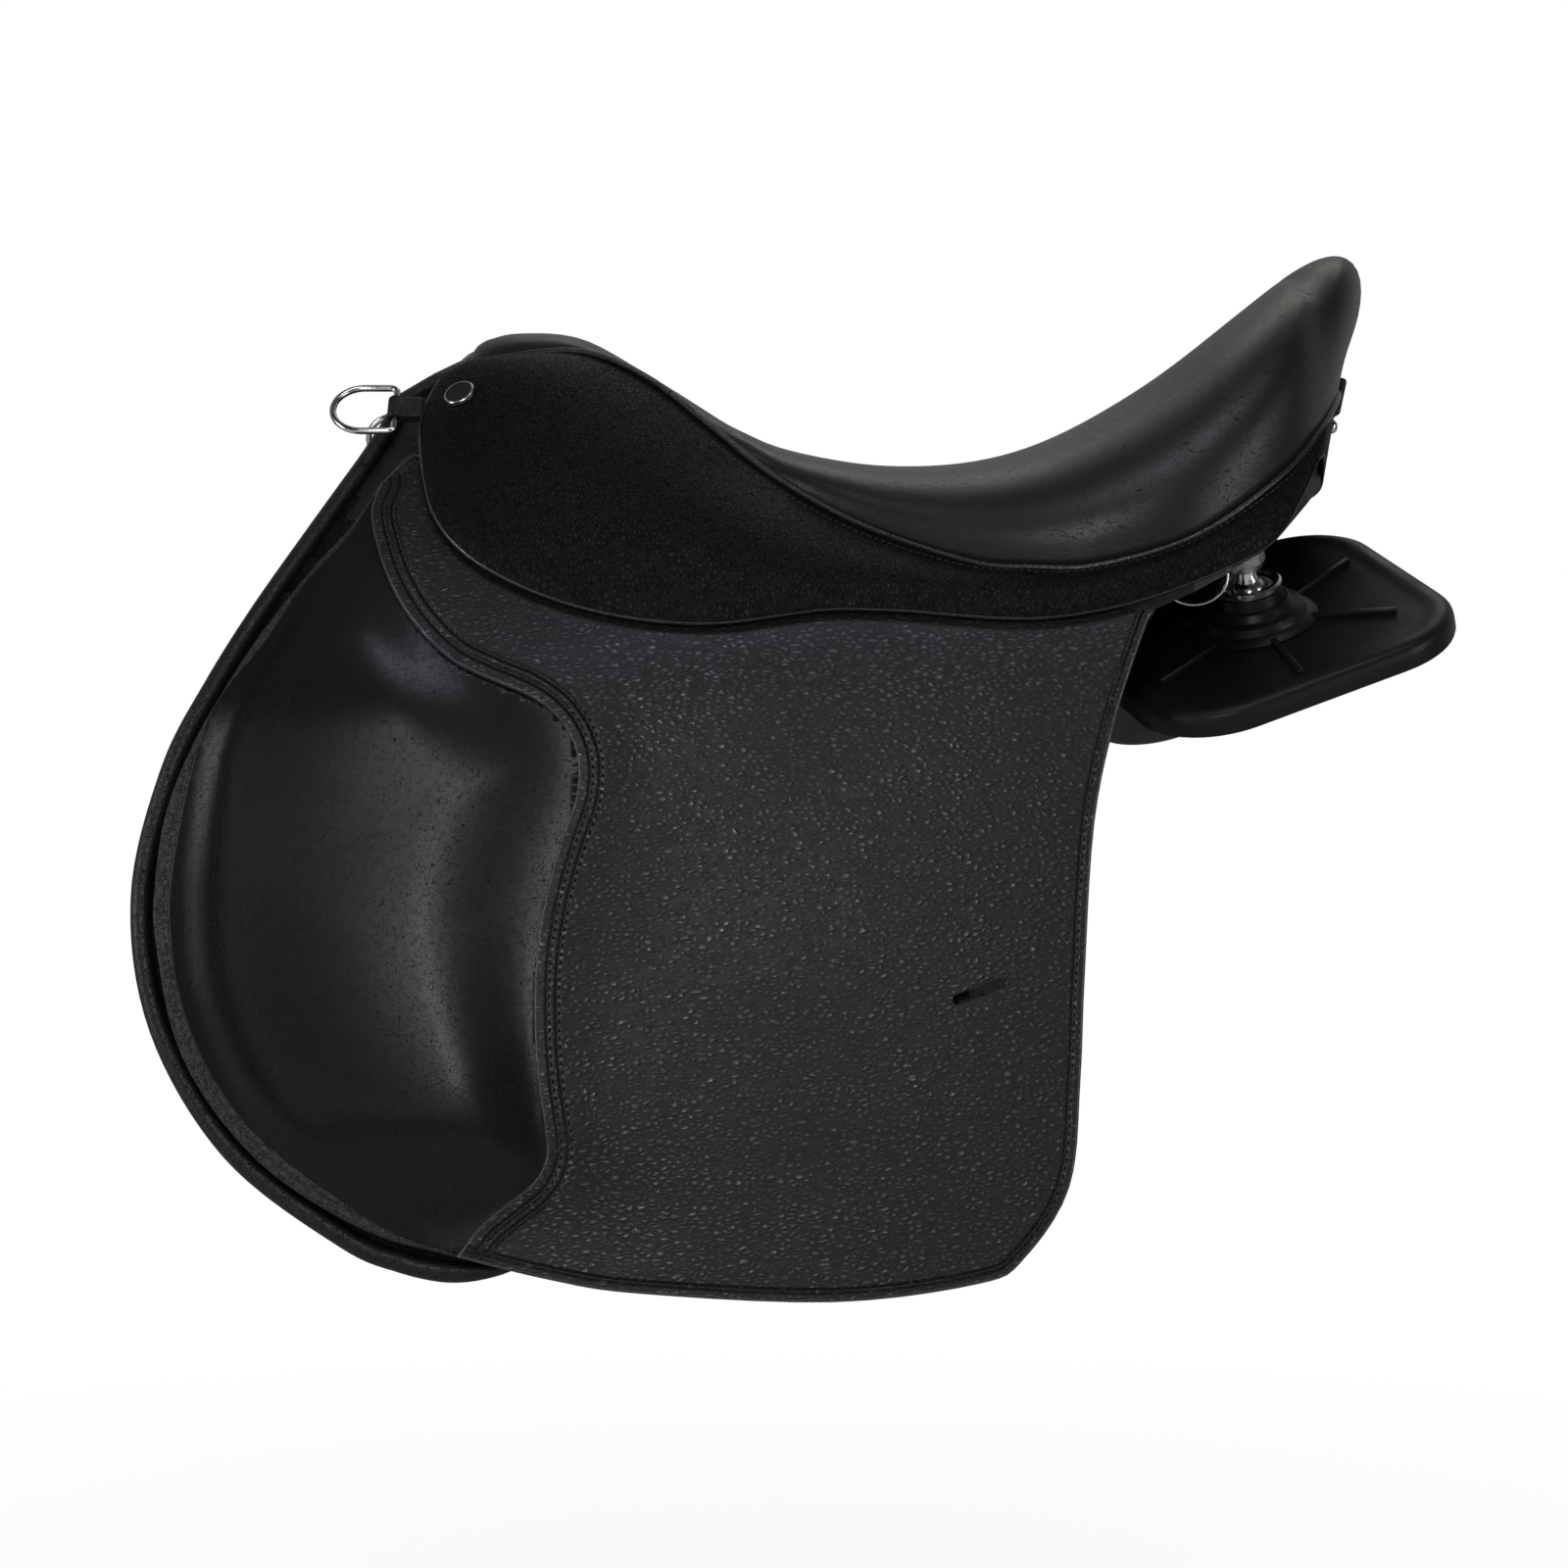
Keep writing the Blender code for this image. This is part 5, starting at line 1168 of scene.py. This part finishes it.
def modelPlate():
    look = plateLook
    item = startPiece(bpy.ops.mesh.primitive_plane_add, size=look["size"] * mm,
                      location=(0, 0, look["base"] * mm))
    bpy.ops.mesh.bevel(offset=look["corner"] * mm, segments=14, affect="VERTICES")
    bpy.ops.mesh.select_all(action="SELECT")
    bpy.ops.mesh.extrude_region_move(TRANSFORM_OT_translate={"value": (0, 0, look["wall"] * mm)})
    for inset, rise in look["rim"]:
        bpy.ops.mesh.inset(thickness=inset * mm, depth=rise * mm)
    bpy.ops.mesh.select_all(action="SELECT")
    bpy.ops.mesh.normals_make_consistent(inside=False)
    selectUnderside(item)
    for inset, rise in look["foot"]:
        bpy.ops.mesh.inset(thickness=inset * mm, depth=rise * mm)
    endPiece(item, finish["rubber"], 28)
    item.data.transform(Matrix.Translation(item.location))
    item.location = (0, 0, 0)
    pieces = [item, turnedPiece(look["boss"], finish["rubber"], 64, 35)]
    long = look["ribTo"] - look["ribFrom"]
    for index in range(look["ribs"]):
        rib = startPiece(bpy.ops.mesh.primitive_cube_add, size=1)
        bpy.ops.transform.resize(value=(long * mm, look["ribWide"] * mm, 2 * look["ribHigh"] * mm))
        bpy.ops.mesh.bevel(offset=0.7 * mm, segments=3, affect="EDGES")
        endPiece(rib, finish["rubber"], 40)
        turn = Matrix.Rotation(math.radians(look["ribTurn"] + 360 * index / look["ribs"]), 4, "Z")
        middle = (look["ribFrom"] + look["ribTo"]) / 2
        rib.data.transform(turn @ Matrix.Translation((middle * mm, 0, look["ribLevel"] * mm)))
        pieces.append(rib)
    return joinPieces("supportPlate", pieces)


def joinPieces(name, pieces):
    bpy.ops.object.select_all(action="DESELECT")
    for piece in pieces:
        piece.select_set(True)
    bpy.context.view_layer.objects.active = pieces[0]
    bpy.ops.object.join()
    pieces[0].name = name
    return pieces[0]


def arcPoints(radius, degrees):
    return [(radius * math.cos(math.radians(d)), radius * math.sin(math.radians(d))) for d in degrees]


def modelStud():
    ball, neck, foot, low, high, flange, shank, length = (studLook[key] for key in (
        "ball", "neck", "neckFoot", "flangeLow", "flangeHigh", "flange", "shank", "length"))
    profile = [(0, -ball)] + arcPoints(ball, range(-80, 56, 9)) + [
        (neck + 0.5, foot), (neck, foot + 0.9), (neck, low - 0.6), (neck + 0.6, low), (flange - 0.5, low),
        (flange, low + 0.5), (flange, high - 0.5), (flange - 0.5, high), (shank, high), (shank, length - 0.5),
        (shank - 0.5, length), (0, length)]
    return turnedPiece(profile, finish["chrome"], 48, 35)


def modelLiner():
    look = linerLook
    wall = arcPoints(look["outer"], look["degrees"][::-1]) + arcPoints(look["inner"], look["degrees"])
    return turnedPiece([(0, -look["outer"])] + wall + [(0, -look["inner"])], finish["nylon"], 48, 50)


def copyTo(source, name, turn, centre, side):  # with its own mesh, mirrored for the far side
    piece = source.copy()
    piece.data = source.data.copy()
    piece.name = name
    bpy.context.scene.collection.objects.link(piece)
    place = Matrix.Translation(Vector(centre) * mm) @ turn.to_4x4()
    if side == "right":
        place = Matrix.Scale(-1, 4, (0, 1, 0)) @ place
    piece.data.transform(place)
    if side == "right":
        piece.data.flip_normals()
    return piece


def buildUnits():
    sources = {"plate": modelPlate(), "ball_stud": modelStud(), "ball_liner": modelLiner(),
               "lock_ring": turnedPiece(lockLook, finish["chrome"], 56, 30)}
    bodies = {"plate": "pad", "ball_stud": "stud", "ball_liner": "cup", "lock_ring": "pad"}
    for end, (centre, axis, hint) in unitLook.items():
        for side in ("left", "right"):
            for kind, source in sources.items():
                piece = copyTo(source, f"{kind}_shaped_{end}_{side}", frameAt(axis, hint), centre, side)
                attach(piece, f"{bodies[kind]}_{end}_{side}")
                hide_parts(f"{kind}_{end}_{side}")
    for source in sources.values():
        bpy.data.objects.remove(source)


ringLook = {
    "front": {"wire": 1.65, "reach": 30, "height": 29, "corner": 3.0},
    "rear": {"wire": 1.35, "reach": 16.5, "height": 31, "corner": 2.6},
    "chape": {"front": (13.3, 13.0), "rear": (4.2, 15.0)}, "wall": 1.9, "slack": 0.3, "round": 0.8,
    "frontAt": (-186, 174, 8.3), "rearAt": (192, -115, 100.5),
}


def modelRing(look):  # round wire bent to a D: bar along Z on the axis, loop towards +X
    wire, corner = look["wire"] * mm, look["corner"] * mm
    half, reach = look["height"] / 2 * mm, look["reach"] * mm
    item = startPiece(bpy.ops.mesh.primitive_circle_add, vertices=14, radius=wire)
    place, along, across = Vector((0, 0, 0)), Vector((0, 0, -1)), Vector((1, 0, 0))
    leg = max(reach - corner - half, 1 * mm)
    moves = [("straight", half - corner), ("arc", corner, 90), ("straight", leg), ("loop", half, 180),
             ("straight", leg), ("arc", corner, 90), ("straight", half - corner)]
    for move in moves:
        if move[0] == "straight":
            bpy.ops.mesh.extrude_region_move(TRANSFORM_OT_translate={"value": along * move[1]})
            place = place + along * move[1]
            continue
        centre = place + across * move[1]
        bpy.ops.mesh.spin(steps=24 if move[0] == "loop" else 6, angle=math.radians(move[2]), center=centre,
                          axis=across.cross(along))
        turn = Matrix.Rotation(math.radians(move[2]), 3, along.cross(across))
        place, along, across = centre + turn @ (place - centre), turn @ along, turn @ across
    bpy.ops.mesh.select_all(action="SELECT")
    bpy.ops.mesh.remove_doubles(threshold=0.05 * mm)
    if reach < half + corner + leg:
        bpy.ops.transform.resize(value=(reach / (half + corner + leg), 1, 1), center_override=(0, 0, 0))
    return endPiece(item, finish["chrome"], 60)


def chapeShape(wire, tail, wide):  # leather folded round a bar along Z, its two layers running towards +X
    bore, count = wire + ringLook["slack"], 28
    around = bore + ringLook["wall"]
    degrees = [360 * index / count for index in range(count)]
    inner, outer = arcPoints(bore, degrees), arcPoints(around, degrees)
    outer[0] = (tail, outer[0][1])
    outer[1], outer[-1] = (tail - 0.3, around * 0.5), (tail - 0.3, -around * 0.5)
    outer[2], outer[-2] = (around * 1.15, around * 0.62), (around * 1.15, -around * 0.62)
    verts, faces = [], []
    for loop in (outer, inner):
        for z in (-wide / 2, wide / 2):
            verts += [(x, y, z) for x, y in loop]
    for i in range(count):
        j = (i + 1) % count
        faces.append((i, j, j + count, i + count))
        faces.append((i + 2 * count, i + 3 * count, j + 3 * count, j + 2 * count))
        faces.append((i, i + 2 * count, j + 2 * count, j))
        faces.append((i + count, j + count, j + 3 * count, i + 3 * count))
    return verts, faces


def buildRings():
    x, z, out = ringLook["frontAt"]
    places = {"front": (onSide(x, z, out), Vector((1, 0, 0)).cross(sideNormal(x, z)), Vector((-1, 0, 0))),
              "rear": (Vector(ringLook["rearAt"]), Vector((1, 0, 0)), Vector((0, 0, -1)))}
    for end, (centre, bar, loop) in places.items():
        look = ringLook[end]
        source = modelRing(look)
        turn = frameAt(bar, loop)
        for side in ("left", "right"):
            ring = copyTo(source, f"{end}_ring_{side}", turn, centre, side)
            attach(ring, f"{end}_ring_{side}")
            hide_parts(f"{end}_dee_{side}")
        bpy.data.objects.remove(source)
        tail, wide = ringLook["chape"][end]
        back = turn @ Matrix.Rotation(math.pi, 3, "Z")
        verts, faces = chapeShape(look["wire"], tail, wide)
        verts = [back @ Vector(v) + centre for v in verts]
        for side, chape in onBoth(f"{end}_ring_keeper", verts, faces, finish["strapLeather"], 45).items():
            bevel = chape.modifiers.new("edge", "BEVEL")
            bevel.width = ringLook["round"] * mm
            bevel.segments = 3
            bevel.limit_method = "ANGLE"
            applyAll(chape)
            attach(chape, "saddle")
            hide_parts(f"{end}_dee_chape_{side}")


trimLook = {
    "badge": [(0, 1.7), (6.5, 1.7), (6.6, 2.1), (7.2, 2.1), (7.5, 1.8), (7.5, 0)],
    "badgeAt": (-151.7, 186.5), "badgeFace": 6.55, "badgeLift": 0.3,
    "tabAt": (276.2, 0, 193), "tabSize": (5.0, 16, 19), "tabLean": 12, "tabRound": 2.1,
    "studAt": (273.6, 0, 178.5), "studAxis": (1, 0, -0.15),
    "stud": [(0, 0), (3.2, 0), (3.5, 0.3), (3.4, 1.0), (2.9, 1.8), (2.1, 2.5), (1.1, 2.85), (0, 2.95)],
}


def buildBadge():  # a plain enamelled disc with a bright rim, on the skirt beside the pommel
    look = trimLook
    grid = skirtColumns()[1]
    cells = [(c, r) for c in range(1, len(grid) - 1) for r in range(1, len(grid[0]) - 1)]
    c, r = min(cells, key=lambda cell: math.dist((grid[cell[0]][cell[1]].x, grid[cell[0]][cell[1]].z),
                                                 look["badgeAt"]))
    normal = (grid[c][r + 1] - grid[c][r - 1]).cross(grid[c + 1][r] - grid[c - 1][r]).normalized()
    if normal.y > 0:
        normal.negate()
    source = turnedPiece([(0, 0)] + look["badge"][::-1], finish["badgeRim"], 48, 30)
    source.data.materials.append(finish["badgeFace"])
    for polygon in source.data.polygons:
        across = Vector((polygon.center.x, polygon.center.y)).length
        if across < look["badgeFace"] * mm and polygon.center.z > 1 * mm:
            polygon.material_index = 1
    for side in ("left", "right"):
        badge = copyTo(source, f"badge_disc_{side}", frameAt(normal, (1, 0, 0)),
                       grid[c][r] + normal * look["badgeLift"], side)
        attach(badge, "saddle")
        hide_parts(f"badge_{side}")
    bpy.data.objects.remove(source)


def buildCantleTab():
    look = trimLook
    tab = startPiece(bpy.ops.mesh.primitive_cube_add, size=1)
    bpy.ops.transform.resize(value=[side * mm for side in look["tabSize"]])
    bpy.ops.mesh.bevel(offset=look["tabRound"] * mm, segments=5, affect="EDGES")
    endPiece(tab, finish["strapLeather"], 40)
    lean = Matrix.Rotation(math.radians(look["tabLean"]), 4, "Y")
    tab.data.transform(Matrix.Translation(Vector(look["tabAt"]) * mm) @ lean)
    tab.name = "cantle_tab"
    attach(tab, "saddle")
    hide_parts("cantle_strap")
    source = turnedPiece(look["stud"], finish["chrome"], 32, 35)
    stud = copyTo(source, "cantle_stud_head", frameAt(look["studAxis"], (0, 0, 1)), look["studAt"], "left")
    bpy.data.objects.remove(source)
    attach(stud, "saddle")
    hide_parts("cantle_stud")


buildUnits()
buildRings()
buildBadge()
buildCantleTab()
print("support units, rings and trim")


# carried-over nodes keep their shape and get a finish

carriedFinish = {"tree": "treeShell", "gullet_plate": "forgedSteel", "rear_bridge": "forgedSteel",
                 "seat_foam": "foam", "stirrup_bar": "forgedSteel", "stirrup_catch": "forgedSteel"}


def finishCarried():
    for name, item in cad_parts.items():
        for start, kind in carriedFinish.items():
            if name.startswith(start):
                item.data.materials.clear()
                item.data.materials.append(finish[kind])


finishCarried()
print("carried nodes finished")
